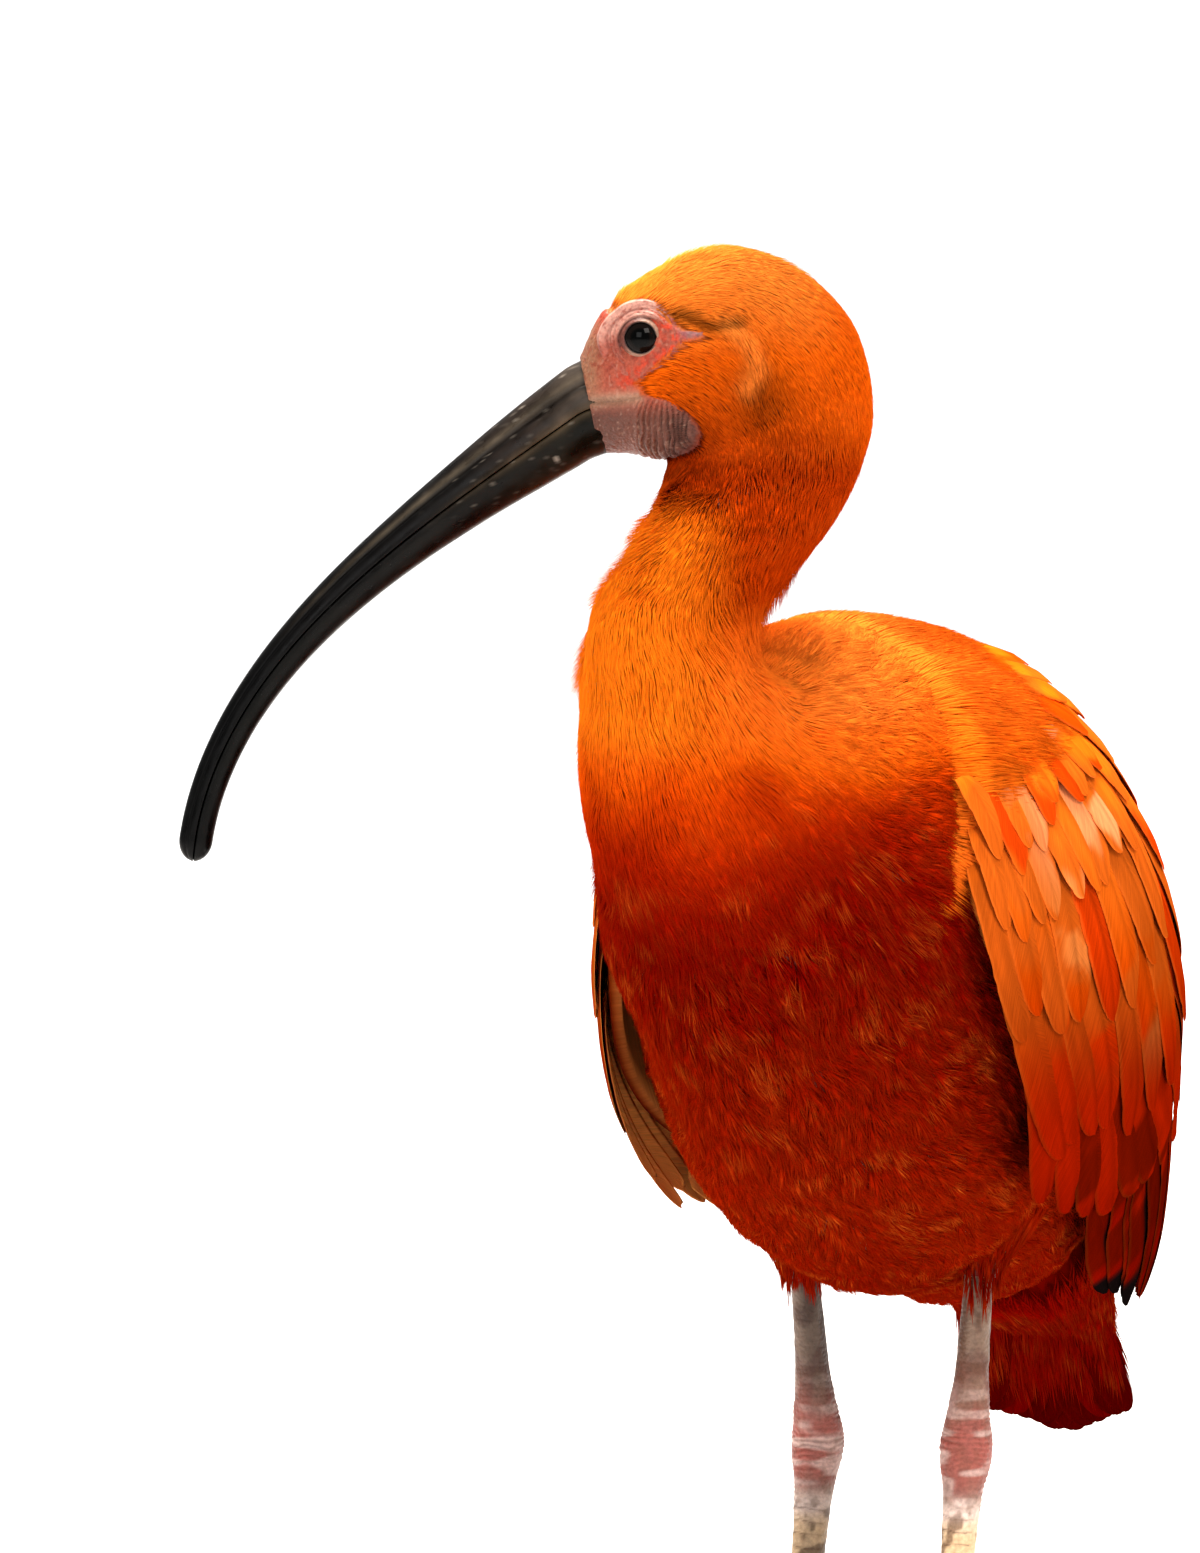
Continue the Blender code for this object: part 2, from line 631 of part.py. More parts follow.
def head_details(head):
    """Lids and eye sockets, the folds of the bare throat and the line of the mouth."""
    added, cuts = [], []
    for side in (-1, 1):
        axis = unit(side * HEAD_LEFT + 0.10 * HEAD_FORWARD)
        centre = eye_centre(side)
        lid = centre + axis * 0.0030
        added.append(torus("lid", lid, axis, UP, (0.0046, 0.0042), 0.0009, 14, 6, bare_skin()))
        rim = centre + axis * 0.0022 + HEAD_FORWARD * 0.0003
        added.append(torus("fold", rim, axis, UP, (0.0068, 0.0060), 0.0007, 12, 4, bare_skin()))
        socket = EYE_RADIUS + GAP
        cuts.append(ball("socket", centre, (socket, socket), 14, 8, bare_skin(), axis))
        start = BODY.at("bill_root")
        t = np.linspace(start + 0.001, start - 0.0095, 6)
        a = side * np.linspace(93, 104, 6)
        path = BODY.point(t, a)
        radii = [0.0007, 0.0007, 0.0006, 0.0005, 0.0004, 0.0002]
        cuts.append(path_tube("mouth", path, radii, 6, bare_skin(), across=HEAD_LEFT))
    for i in range(5):
        a = np.linspace(118, 242, 9)
        t = [head_place(0.0575 + 0.0018 * i, angle) for angle in a]
        path = BODY.point(np.array(t), a)
        radii = 0.00085 * np.sin(np.linspace(0.25, np.pi - 0.25, 9)) ** 0.6
        added.append(path_tube("throat_fold", path, radii, 4, bare_skin(), across=HEAD_FORWARD))
    boolean(head, "UNION", added)
    boolean(head, "DIFFERENCE", cuts)


def eyes():
    """The two eyeballs in their sockets."""
    for side, name in ((LEFT, "eye_left"), (RIGHT, "eye_right")):
        axis = unit(side * HEAD_LEFT + 0.10 * HEAD_FORWARD)
        finish = material("eye_dark", "0A0A0C", 0.08)
        ball(name, eye_centre(side), (EYE_RADIUS, EYE_RADIUS), 14, 8, finish, axis)


# Legs


@dataclass(frozen=True)
class Leg:
    """The points of one leg from the thigh down, and the turn of its foot outward."""

    side: int
    thigh: tuple
    feather_edge: tuple
    ankle: tuple
    shin: tuple
    foot: tuple


LEGS = (
    Leg(RIGHT, (-0.021, -0.008, 0.158), (-0.0186, -0.0068, 0.1285), (-0.019, 0.004, 0.092),
        (-0.019, -0.003, 0.067), (-0.0195, -0.021, 0.0105)),
    Leg(LEFT, (0.023, 0.006, 0.158), (0.0194, 0.006, 0.1285), (0.018, 0.001, 0.092),
        (0.018, -0.005, 0.069), (0.018, -0.021, 0.0105)),
)
TIBIA_RADIUS, ANKLE_RADIUS, TARSUS_RADIUS = 0.0042, 0.0061, 0.0039
TOES = (  # name, way in degrees out from straight ahead, length, base radius
    ("middle", 8.0, 0.061, 0.0036),
    ("inner", -15.0, 0.045, 0.0034),
    ("outer", 35.0, 0.052, 0.0034),
    ("hind", 178.0, 0.027, 0.0031),
)
CLAW_LENGTH = 0.0085


def leg(spec, torso):
    """Thigh, bare tibia with the ankle, tarsus, foot and claws of one leg."""
    side = "left" if spec.side == LEFT else "right"
    thigh, edge = np.array(spec.thigh), np.array(spec.feather_edge)
    ankle, shin, foot = np.array(spec.ankle), np.array(spec.shin), np.array(spec.foot)
    down = unit(ankle - edge)
    path = np.vstack([thigh + (edge - 0.005 * down - thigh) * np.linspace(0, 1, 6)[:, None], edge])
    radii = [0.0150, 0.0150, 0.0140, 0.0120, 0.0095, 0.0072, 0.0054]
    bulge = path_tube("thigh_" + side, path, radii, 16, scarlet())
    boolean(bulge, "DIFFERENCE", [swollen(torso, GAP)])

    top = edge + down * GAP
    path = [top, edge + (ankle - edge) * 0.30, edge + (ankle - edge) * 0.60, ankle + (edge - ankle) * 0.18,
            ankle, ankle + (shin - ankle) * 0.16, ankle + (shin - ankle) * 0.34]
    radii = [TIBIA_RADIUS * 1.02, TIBIA_RADIUS, 0.0043, 0.0054, ANKLE_RADIUS, 0.0058, 0.0049]
    path_tube("tibia_" + side, path, radii, 14, bare_skin())
    start = ankle + (shin - ankle) * 0.34
    turn = unit(np.asarray(path[-1]) - np.asarray(path[-2]))
    path = [start + turn * GAP, start + (shin - start) * 0.5, shin, shin + (foot - shin) * 0.35,
            shin + (foot - shin) * 0.7, foot + UP * 0.0035, foot + UP * GAP]
    radii = [0.0049, 0.0042, TARSUS_RADIUS, TARSUS_RADIUS, 0.0040, 0.0045, 0.0049]
    path_tube("tarsus_" + side, path, radii, 14, bare_skin())

    pad = path_tube("foot_" + side, [foot, foot - UP * 0.004, foot - UP * 0.0078, foot * (1, 1, 0)],
                    [0.0049, 0.0054, 0.0056, 0.0046], 14, bare_skin(), floor=0.0)
    added, ends = [], []
    for name, out, length, radius in TOES:
        angle = math.radians(out) * spec.side
        way = np.array([math.sin(angle), -math.cos(angle), 0.0])
        s = np.linspace(0, 1, 8)
        bend = 0.05 * spec.side * math.copysign(1, out) if name != "hind" else 0.0
        curve = np.array([way[1], -way[0], 0.0]) * bend
        width = radius * (1 - 0.36 * s) * (1 + 0.06 * np.cos(s * 7 * np.pi))
        height = np.where(s < 0.12, 0.0052 - 0.02 * s, width * 0.82)
        path = foot * (1, 1, 0) + way * (length * s)[:, None] + UP * height[:, None]
        path = path + curve * (length * s**2)[:, None]
        added.append(path_tube("toe", path, width, 7, bare_skin(), floor=0.0))
        ends.append((name, path[-1], unit(path[-1] - path[-2]), width[-1]))
    hub = foot * (1, 1, 0)
    for first, second in ((0, 1), (0, 2)):
        tips = []
        for index in (first, second):
            angle = math.radians(TOES[index][1]) * spec.side
            tips.append(hub + 0.016 * np.array([math.sin(angle), -math.cos(angle), 0.0]))
        middle = (tips[0] + tips[1]) / 2
        corner = [hub, tips[0], middle + (hub - middle) * 0.2, tips[1]]
        low = np.array(corner) + UP * 0.0011
        high = np.array(corner) + UP * 0.0028
        faces = [(0, 1, 2, 3), (7, 6, 5, 4), (0, 4, 5, 1), (1, 5, 6, 2), (2, 6, 7, 3), (3, 7, 4, 0)]
        added.append(make("web", np.concatenate([low, high]), faces, bare_skin()))
    boolean(pad, "UNION", added)
    for name, end, way, radius in ends:
        s = np.linspace(0, 1, 5)
        start = end + way * GAP
        drop = (end[2] + way[2] * CLAW_LENGTH - 0.0006) * (np.maximum(s - 0.25, 0) / 0.75) ** 1.6
        path = start + way * (CLAW_LENGTH * s)[:, None] - UP * drop[:, None]
        radii = radius * np.array([0.84, 0.76, 0.58, 0.37, 0.13])
        path_tube(f"claw_{name}_{side}", path, radii, 6, material("claw_horn", "3A2C22", 0.4), floor=0.0002)


def main():
    """Builds every node of the bird."""
    clear_scene()
    torso = body_piece("torso", "rump_end", "crop", 22, 26, scarlet())
    body_piece("neck_lower", "crop", "neck_middle", 8, 24, scarlet())
    body_piece("neck_upper", "neck_middle", "nape", 7, 24, scarlet())
    head = body_piece("head", "nape", "bill_root", 16, 28, scarlet())
    head_details(head)
    bill()
    eyes()
    for side in (LEFT, RIGHT):
        wing(side, torso)
    tail()
    for spec in LEGS:
        leg(spec, torso)


def clear_scene():
    for obj in list(bpy.data.objects):
        bpy.data.objects.remove(obj)


main()
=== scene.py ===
"""A scarlet ibis as a still life-size model: skin, feathers, bill, eyes, legs and a plain pale studio."""

import logging
import math
from collections.abc import Sequence
from dataclasses import dataclass
from enum import Enum
from typing import ClassVar

import bpy
import numpy as np
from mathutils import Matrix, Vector
from mathutils.bvhtree import BVHTree


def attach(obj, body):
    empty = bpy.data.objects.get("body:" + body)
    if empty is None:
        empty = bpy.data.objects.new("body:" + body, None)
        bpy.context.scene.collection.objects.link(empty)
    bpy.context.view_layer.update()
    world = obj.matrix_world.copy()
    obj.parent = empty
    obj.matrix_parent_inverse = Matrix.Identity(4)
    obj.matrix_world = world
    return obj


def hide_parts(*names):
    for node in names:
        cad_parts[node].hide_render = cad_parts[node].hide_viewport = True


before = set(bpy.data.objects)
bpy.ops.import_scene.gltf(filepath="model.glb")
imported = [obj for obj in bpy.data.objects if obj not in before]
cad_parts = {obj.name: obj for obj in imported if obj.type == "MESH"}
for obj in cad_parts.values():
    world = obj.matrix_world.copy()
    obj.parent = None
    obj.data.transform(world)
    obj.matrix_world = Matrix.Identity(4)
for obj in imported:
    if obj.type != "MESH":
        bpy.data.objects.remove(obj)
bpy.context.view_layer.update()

LOG = logging.getLogger("ibis")
MM = 0.001
UP = np.array([0.0, 0.0, 1.0])
# From the bird's own axis to the middle of its box
BOX_SHIFT = np.array([0.03317, -0.00393, 0.0])
Array, Random = np.ndarray, np.random.Generator
Node, Tree = bpy.types.Node, bpy.types.NodeTree
Material, Piece = bpy.types.Material, bpy.types.Object
Range, Point = tuple[float, float], tuple[float, float, float]
Corners = Sequence[Range]


class Side(Enum):
    """The bird's own sides, each with its sign along X."""

    RIGHT = -1
    LEFT = 1

    @property
    def word(self) -> str:
        """The side's name in small letters."""
        return self.name.lower()


# Colour and noise


def linear(srgb_hex: str) -> Array:
    """Turns one sRGB hex colour to linear light: c/12.92 below 0.04045, else ((c + 0.055)/1.055)^2.4.

    Args:
        srgb_hex: six hex digits, such as "D8480F".

    Returns:
        Linear red, green and blue.
    """
    c = np.array([int(srgb_hex[i : i + 2], 16) / 255 for i in (0, 2, 4)])
    return np.where(c < 0.04045, c / 12.92, ((c + 0.055) / 1.055) ** 2.4)


def mix(first: Array | str, second: Array | str, amount: Array) -> Array:
    """Blends two colours, linear or sRGB hex: first + (second - first) * amount, held to 0..1."""
    first, second = [linear(c) if isinstance(c, str) else c for c in (first, second)]
    return first + (second - first) * np.clip(amount, 0, 1)[..., None]


def gradient(at: Array, stops: Sequence[float], colours: Sequence[str]) -> Array:
    """Linear colours read between sRGB stops, straight from one to the next."""
    table = np.stack([linear(c) for c in colours])
    return np.stack([np.interp(at, stops, table[:, i]) for i in range(3)], -1)


def ramp(x: Array, low: float, high: float) -> Array:
    """A smooth step: 0 below low, 1 above high, 3x^2 - 2x^3 between."""
    x = np.clip((x - low) / (high - low), 0, 1)
    return x * x * (3 - 2 * x)


def bell(x: Array, width: float) -> Array:
    """A round bump: exp(-(x/width)^2)."""
    return np.exp(-np.square(x / width))


# Large odd numbers that stir a cell's place and the seed into one value, and the bits that are kept
CELL_STIR = np.array([374761393, 668265263, 1440662683])
SEED_STIR, LAST_STIR = 974634777, 1274126177
WORD, HALF_WORD = 0xFFFFFFFF, 0xFFFF


def noise(points: Array, scale: float, seed: int = 0) -> Array:
    """Smooth value noise: lattice values hashed from whole cells, blended by the smooth step on each axis.

    Args:
        points: positions, last axis of 3.
        scale: size of one cell in the unit of the points.
        seed: which noise.

    Returns:
        Values from 0 to 1, one for each position.
    """
    p = np.asarray(points, float) / scale
    cell = np.floor(p).astype(np.int64)
    f = p - cell
    f = f * f * (3 - 2 * f)
    total = np.zeros(p.shape[:-1])
    for corner in range(8):
        step = np.array([corner & 1, corner >> 1 & 1, corner >> 2 & 1])
        c = cell + step
        h = (c * CELL_STIR).sum(-1) + seed * SEED_STIR & WORD
        h = (h ^ (h >> 13)) * LAST_STIR & WORD
        value = ((h ^ (h >> 16)) & HALF_WORD) / HALF_WORD
        total += value * np.prod(np.where(step == 1, f, 1 - f), axis=-1)
    return total


def unit(v: Array) -> Array:
    """Vectors brought to length one."""
    return v / np.maximum(np.linalg.norm(v, axis=-1, keepdims=True), 1e-12)


def outline_distance(x: Array, y: Array, corners: Corners, closed: bool = True) -> Array:
    """Distance to an outline, below zero inside a closed one: least distance to an edge, sign by crossings.

    Args:
        x: first coordinates.
        y: second coordinates.
        corners: the outline's corners in order.
        closed: whether the last corner joins the first.

    Returns:
        Distances in the unit of the corners.
    """
    c = np.array(corners)
    best = np.full(np.shape(x), 1e9)
    inside = np.zeros(np.shape(x), bool)
    ends = np.roll(c, -1, axis=0) if closed else c[1:]
    for (x0, y0), (x1, y1) in zip(c, ends):
        dx, dy = x1 - x0, y1 - y0
        s = np.clip(((x - x0) * dx + (y - y0) * dy) / (dx * dx + dy * dy), 0, 1)
        best = np.minimum(best, np.hypot(x - x0 - s * dx, y - y0 - s * dy))
        if closed:
            inside ^= ((y0 > y) != (y1 > y)) & (x < x0 + (y - y0) * dx / (dy if dy else 1e-12))
    return np.where(inside, -best, best)


# Mesh and node helpers

# The share of the bake map in use, and the margin before it
MAP_SHARE, MAP_MARGIN = 0.97, 0.001


def add_node(tree: Tree, kind: str, inputs: dict | None = None, **settings: object) -> Node:
    """Adds one node with its settings, input values and links.

    Args:
        tree: the node tree.
        kind: the node's type name.
        inputs: input name or number to a value or to an output socket.
        settings: properties of the node.

    Returns:
        The node.
    """
    node = tree.nodes.new(kind)
    for key, value in settings.items():
        setattr(node, key, value)
    for key, value in (inputs or {}).items():
        if isinstance(value, bpy.types.NodeSocket):
            tree.links.new(value, node.inputs[key])
        else:
            node.inputs[key].default_value = value
    return node


def new_object(name: str, verts: Array, faces: Sequence[Array], material: Material) -> Piece:
    """A smooth, closed mesh object at the origin, turned round if its signed volume is below zero.

    Args:
        name: the piece's name.
        verts: positions before the box shift.
        faces: index arrays of shape (n, 3) or (n, 4).
        material: its finish.

    Returns:
        The object, linked to the scene.
    """
    verts = np.asarray(verts, float).reshape(-1, 3)
    volume = sum(
        np.einsum("ij,ij->i", verts[f[:, 0]], np.cross(verts[f[:, k]], verts[f[:, k + 1]])).sum()
        for f in faces
        for k in range(1, f.shape[1] - 1)
    )
    if volume < 0:
        faces = [f[:, ::-1] for f in faces]
    verts = (verts + BOX_SHIFT).astype(np.float32)
    loops = np.concatenate([f.reshape(-1) for f in faces]).astype(np.int32)
    sizes = np.concatenate([np.full(len(f), f.shape[1]) for f in faces])
    mesh = bpy.data.meshes.new(name)
    mesh.vertices.add(len(verts))
    mesh.vertices.foreach_set("co", verts.ravel())
    mesh.loops.add(len(loops))
    mesh.loops.foreach_set("vertex_index", loops)
    mesh.polygons.add(len(sizes))
    mesh.polygons.foreach_set("loop_start", (np.cumsum(sizes) - sizes).astype(np.int32))
    mesh.polygons.foreach_set("use_smooth", np.ones(len(sizes), bool))
    mesh.update(calc_edges=True)
    mesh.materials.append(material)
    obj = bpy.data.objects.new(name, mesh)
    bpy.context.scene.collection.objects.link(obj)
    return obj


def set_attribute(obj: Piece, name: str, values: Array) -> None:
    """Writes one vector for each vertex, or one linear colour where the name ends in Tint."""
    count = len(obj.data.vertices)
    if name.endswith("Tint"):
        data = np.ones((count, 4), np.float32)
        data[:, :3] = values.reshape(-1, 3)
        obj.data.attributes.new(name, "FLOAT_COLOR", "POINT").data.foreach_set("color", data.ravel())
    else:
        layer = obj.data.attributes.new(name, "FLOAT_VECTOR", "POINT")
        layer.data.foreach_set("vector", values.astype(np.float32).ravel())


def set_uv(obj: Piece, coordinates: Array) -> None:
    """Writes the bake map from one pair a vertex; a face across the round seam gets its low side past 1."""
    mesh = obj.data
    layer = mesh.uv_layers.new(name="OFBake")
    index = np.empty(len(mesh.loops), np.int32)
    mesh.loops.foreach_get("vertex_index", index)
    uv = coordinates.reshape(-1, 2)[index]
    start = np.empty(len(mesh.polygons), np.int32)
    mesh.polygons.foreach_get("loop_start", start)
    high = np.maximum.reduceat(uv[:, 1], start)
    size = np.diff(np.append(start, len(index)))
    uv[:, 1] += (np.repeat(high, size) - uv[:, 1]) > 0.5
    layer.uv.foreach_set("vector", (uv * MAP_SHARE + MAP_MARGIN).astype(np.float32).ravel())


def grid_faces(rows: int, columns: int, start: int = 0, around: bool = False) -> Array:
    """Quads between neighbouring rows and columns of a grid of points, closed round when asked."""
    i = np.arange(rows - 1)[:, None] * columns
    j = np.arange(columns if around else columns - 1)[None, :]
    k = (j + 1) % columns
    corners = np.broadcast_arrays(i + j, i + k, i + columns + k, i + columns + j)
    return start + np.stack(corners, -1).reshape(-1, 4)


def tube(rings: Array, start: int = 0) -> tuple[Array, list[Array]]:
    """A closed tube: its rings, with the middle of each end as one more point.

    Args:
        rings: positions of shape (rows, columns, 3).
        start: index of its first vertex.

    Returns:
        Its vertices and its faces.
    """
    rows, columns = rings.shape[:2]
    verts = np.concatenate([rings.reshape(-1, 3), rings[:1].mean(1), rings[-1:].mean(1)])
    j = start + np.arange(columns)
    k = start + (np.arange(columns) + 1) % columns
    last = (rows - 1) * columns
    end = np.full(columns, start + rows * columns)
    caps = np.concatenate([np.stack([k, j, end], -1), np.stack([j + last, k + last, end + 1], -1)])
    return verts, [grid_faces(rows, columns, start, around=True), caps]


def with_ends(values: Array) -> Array:
    """A grid's values, with the mean of its first and of its last row added for a tube's end points."""
    flat = values.reshape(-1, values.shape[-1])
    return np.concatenate([flat, values[:1].mean(1), values[-1:].mean(1)])


def round_net(rows: int, columns: int) -> tuple[Array, Array]:
    """Places of a net round a tube: 0 to 1 along it, and turns round it from 0 up to but without 1."""
    return np.meshgrid(np.linspace(0, 1, rows), np.arange(columns) / columns, indexing="ij")


def stacked(*values: Array) -> Array:
    """Arrays brought to one shape and joined on a new last axis."""
    return np.stack(np.broadcast_arrays(*values), -1)


def merge(parts: Sequence[tuple[Array, list[Array]]]) -> tuple[Array, list[Array]]:
    """Several meshes as one, with the indices of each moved past those before it."""
    verts, faces, start = [], [], 0
    for part, part_faces in parts:
        verts.append(part)
        faces += [f + start for f in part_faces]
        start += len(part)
    return np.concatenate(verts), faces


# The shapes that all pieces share


@dataclass(frozen=True)
class Section:
    """One cross-section: centre, the way from centre to back, half width and turn to the right in degrees."""

    x: float
    y: float
    z: float
    back: float
    rise: float
    side: float
    turn: float = 0.0


BODY_SECTIONS = {
    "rump_end": Section(0.0, 0.089, 0.145, 0.007, 0.027, 0.022),
    "rump": Section(0.0, 0.078, 0.1575, 0.006, 0.0395, 0.030),
    "loin": Section(0.0, 0.0525, 0.1762, 0.0075, 0.0558, 0.041),
    "hip": Section(0.0, 0.019, 0.1958, 0.009, 0.0692, 0.050),
    "belly": Section(0.0, -0.019, 0.2085, 0.011, 0.0755, 0.053),
    "shoulder": Section(0.0, -0.057, 0.220, 0.016, 0.069, 0.044),
    "breast": Section(-0.002, -0.087, 0.234, 0.019, 0.052, 0.0380, 3),
    "neck_root": Section(-0.0046, -0.104, 0.2475, 0.0205, 0.0325, 0.0293, 9),
    "crop": Section(-0.0108, -0.112, 0.261, 0.021, 0.016, 0.0243, 17),
    "neck_bulge": Section(-0.0155, -0.1094, 0.2786, 0.0190, 0.0055, 0.0200, 27),
    "neck_low": Section(-0.0151, -0.1055, 0.2894, 0.0195, 0.0007, 0.0185, 35),
    "neck_middle": Section(-0.0101, -0.0963, 0.3009, 0.019, -0.002, 0.0175, 44),
    "neck_high": Section(-0.0061, -0.0863, 0.3107, 0.0205, -0.0011, 0.0175, 52),
    "nape_low": Section(-0.0052, -0.0774, 0.319, 0.0221, 0.0013, 0.0175, 60),
    "nape": Section(-0.0053, -0.0711, 0.3267, 0.0227, 0.0044, 0.0175, 65),
    "nape_high": Section(-0.0088, -0.0671, 0.333, 0.0237, 0.0102, 0.0173, 69),
    "crown_back": Section(-0.0135, -0.0666, 0.3392, 0.0228, 0.0158, 0.017, 70),
    "crown": Section(-0.0198, -0.0679, 0.344, 0.0191, 0.0204, 0.0165, 70),
    "crown_front": Section(-0.0271, -0.0705, 0.3466, 0.0136, 0.023, 0.0156, 70),
    "brow": Section(-0.0342, -0.0731, 0.3455, 0.0078, 0.0219, 0.0142, 70),
    "forehead": Section(-0.040, -0.0752, 0.3423, 0.0028, 0.0187, 0.012, 70),
    "lores": Section(-0.0434, -0.0765, 0.339, -0.0002, 0.0154, 0.0102, 70),
    "bill_root": Section(-0.0457, -0.0773, 0.3342, -0.0022, 0.0106, 0.0086, 70),
}

WING_SECTIONS = {
    "wing_front": Section(0.0, -0.0835, 0.232, 0.0205, 0.055, 0.0405),
    "wrist": Section(0.0, -0.0545, 0.219, 0.0185, 0.0725, 0.0515),
    "forearm": Section(0.0, -0.015, 0.2075, 0.0125, 0.0785, 0.0625),
    "elbow": Section(0.0, 0.0255, 0.193, 0.0100, 0.0725, 0.0620),
    "tertials": Section(0.0, 0.062, 0.172, 0.0095, 0.058, 0.0515),
    "over_rump": Section(0.0, 0.092, 0.1495, 0.008, 0.043, 0.0425),
    "over_tail": Section(0.0, 0.116, 0.127, 0.006, 0.029, 0.0325),
    "wing_tip": Section(0.0, 0.134, 0.108, 0.004, 0.018, 0.0215),
}

TAIL_SECTIONS = {
    "tail_root": BODY_SECTIONS["rump_end"],
    "tail_coverts": Section(0.0, 0.0965, 0.131, 0.0085, 0.0165, 0.0230),
    "tail_base": Section(0.0, 0.1055, 0.1185, 0.0070, 0.0085, 0.0220),
    "tail_middle": Section(0.0, 0.1145, 0.1070, 0.0030, 0.0024, 0.0195),
}


def hermite(keys: Array, values: Array, at: Array) -> Array:
    """Carries values smoothly through keys by cubic Hermite pieces with central slopes.

    Args:
        keys: rising key places.
        values: one row for each key.
        at: places to read.

    Returns:
        The values there.
    """
    slope = np.gradient(values, keys, axis=0)
    index = np.clip(np.searchsorted(keys, at, side="right") - 1, 0, len(keys) - 2)
    span = (keys[index + 1] - keys[index])[..., None]
    s = (at - keys[index])[..., None] / span
    return (
        (2 * s**3 - 3 * s**2 + 1) * values[index]
        + (s**3 - 2 * s**2 + s) * span * slope[index]
        + (3 * s**2 - 2 * s**3) * values[index + 1]
        + (s**3 - s**2) * span * slope[index + 1]
    )


class Loft:
    """A tube through cross-sections. A place is (p, q): 0 to 1 along, and turns round from back to left."""

    def __init__(self, sections: dict[str, Section], fullness: float = 1.0, keel: float = 1.0) -> None:
        """Keeps the sections as one table, keyed by the run of their centres."""
        self.names = list(sections)
        self.values = np.array([(s.x, s.y, s.z, s.back, s.rise, s.side, s.turn) for s in sections.values()])
        steps = np.linalg.norm(np.diff(self.values[:, :5], axis=0), axis=1)
        self.keys = np.concatenate([[0.0], np.cumsum(steps)]) / steps.sum()
        self.fullness, self.keel = fullness, keel

    def at(self, name: str) -> float:
        """How far along the named section is."""
        return float(self.keys[self.names.index(name)])

    def point(self, p: Array, q: Array) -> Array:
        """Centre + sgn(c)|c|^n * back + sgn(s)|s|^m * left, with c and s the cosine and sine of q turns."""
        value = hermite(self.keys, self.values, np.asarray(p, float))
        turn = np.radians(value[..., 6])
        zero = np.zeros_like(turn)
        backward = np.stack([np.sin(turn), np.cos(turn), zero], -1)
        leftward = np.stack([np.cos(turn), -np.sin(turn), zero], -1)
        to_back = value[..., 3:4] * backward + value[..., 4:5] * UP
        angle = 2 * np.pi * np.asarray(q, float)[..., None]
        c, s = np.cos(angle), np.sin(angle)
        power = np.where(c < 0, self.keel, 1.0) * self.fullness
        c = np.sign(c) * np.abs(c) ** self.fullness
        s = np.sign(s) * np.abs(s) ** power
        return value[..., :3] + c * to_back + s * value[..., 5:6] * leftward


BODY = Loft(BODY_SECTIONS, fullness=0.96, keel=1.15)
WING_LOFT = Loft(WING_SECTIONS, fullness=0.96)
TAIL_CORE = Loft(TAIL_SECTIONS)


@dataclass(frozen=True)
class Bowl:
    """A long soft hollow in the plumage: its middle, its reach each way and its depth, all in metres."""

    middle: Point
    reach: Point
    depth: float

    def rise(self, points: Array) -> Array:
        """Metres, below zero: -depth * exp(-|(point - middle) / reach|^2)."""
        away = (points - np.array(self.middle)) / self.reach
        return -self.depth * np.exp(-(away**2).sum(-1))


FLAT_BACK = Bowl((0.0, -0.024, 0.288), (0.045, 0.034, 0.022), 0.0048)
FLANK_HOLLOW = Bowl((-0.031, -0.086, 0.182), (0.024, 0.030, 0.034), 0.0045)


class WingSurface:
    """Where a folded wing lies. A place is (p, q): front to tip, and back edge to low edge, both 0 to 1."""

    places = np.array([0.0, 0.10, 0.18, 0.30, 0.42, 0.58, 0.78, 1.0, 1.2])
    top = np.array([32.0, 23.0, 18.0, 13.0, 10.0, 7.5, 7.0, 9.0, 10.0])
    low = np.array([84.0, 103.0, 113.0, 123.0, 129.0, 125.0, 119.0, 121.0, 122.0])
    hang = 0.004

    def __init__(self, side: Side) -> None:
        """Keeps the side as a mirror along X."""
        self.mirror = np.array([side.value, 1.0, 1.0])

    def point(self, p: Array, q: Array) -> Array:
        """The wing loft at p, at the angle top + (low - top) q; the right one is mirrored and hangs freer."""
        p, q = np.asarray(p, float), np.asarray(q, float)
        edges = hermite(self.places, np.stack([self.top, self.low], -1), p)
        point = WING_LOFT.point(p, (edges[..., 0] + (edges[..., 1] - edges[..., 0]) * q) / 360)
        if self.mirror[0] < 0:
            point[..., 0] += self.hang * ramp(q, 0.25, 0.8) * bell(p - 0.42, 0.26)
        point[..., 2] += FLAT_BACK.rise(point)
        return point * self.mirror


class TailSurface:
    """The fan of the tail. A place is (p, q): metres down the tail and metres to the left."""

    root = np.array([0.0, 0.0985, 0.1335])
    way = unit(np.array([0.0, 0.589, -0.808]))
    lift = unit(np.array([0.0, 0.808, 0.589]))
    droop = 7.0

    def __init__(self, under: bool = False) -> None:
        """Keeps which face of the fan is meant, by the way q runs."""
        self.turn = -1.0 if under else 1.0

    def point(self, p: Array, q: Array) -> Array:
        """Root + p * way + q * side, with both sides drooped by 7 q^2."""
        p, q = np.asarray(p, float)[..., None], self.turn * np.asarray(q, float)[..., None]
        return self.root + p * self.way + q * np.array([1.0, 0.0, 0.0]) - self.droop * q**2 * self.lift


def slopes(surface: object, p: Array, q: Array) -> tuple[Array, Array, Array]:
    """The two slopes of a surface by central differences, and its unit normal, away from the body's middle.

    Args:
        surface: anything with a point method of two places.
        p: places along.
        q: places across.

    Returns:
        The slope along p, the slope along q and the normal.
    """
    e = 0.002
    dp = (surface.point(p + e, q) - surface.point(p - e, q)) / (2 * e)
    dq = (surface.point(p, q + e) - surface.point(p, q - e)) / (2 * e)
    normal = unit(np.cross(dp, dq))
    return dp, dq, normal * outward_sign(surface)


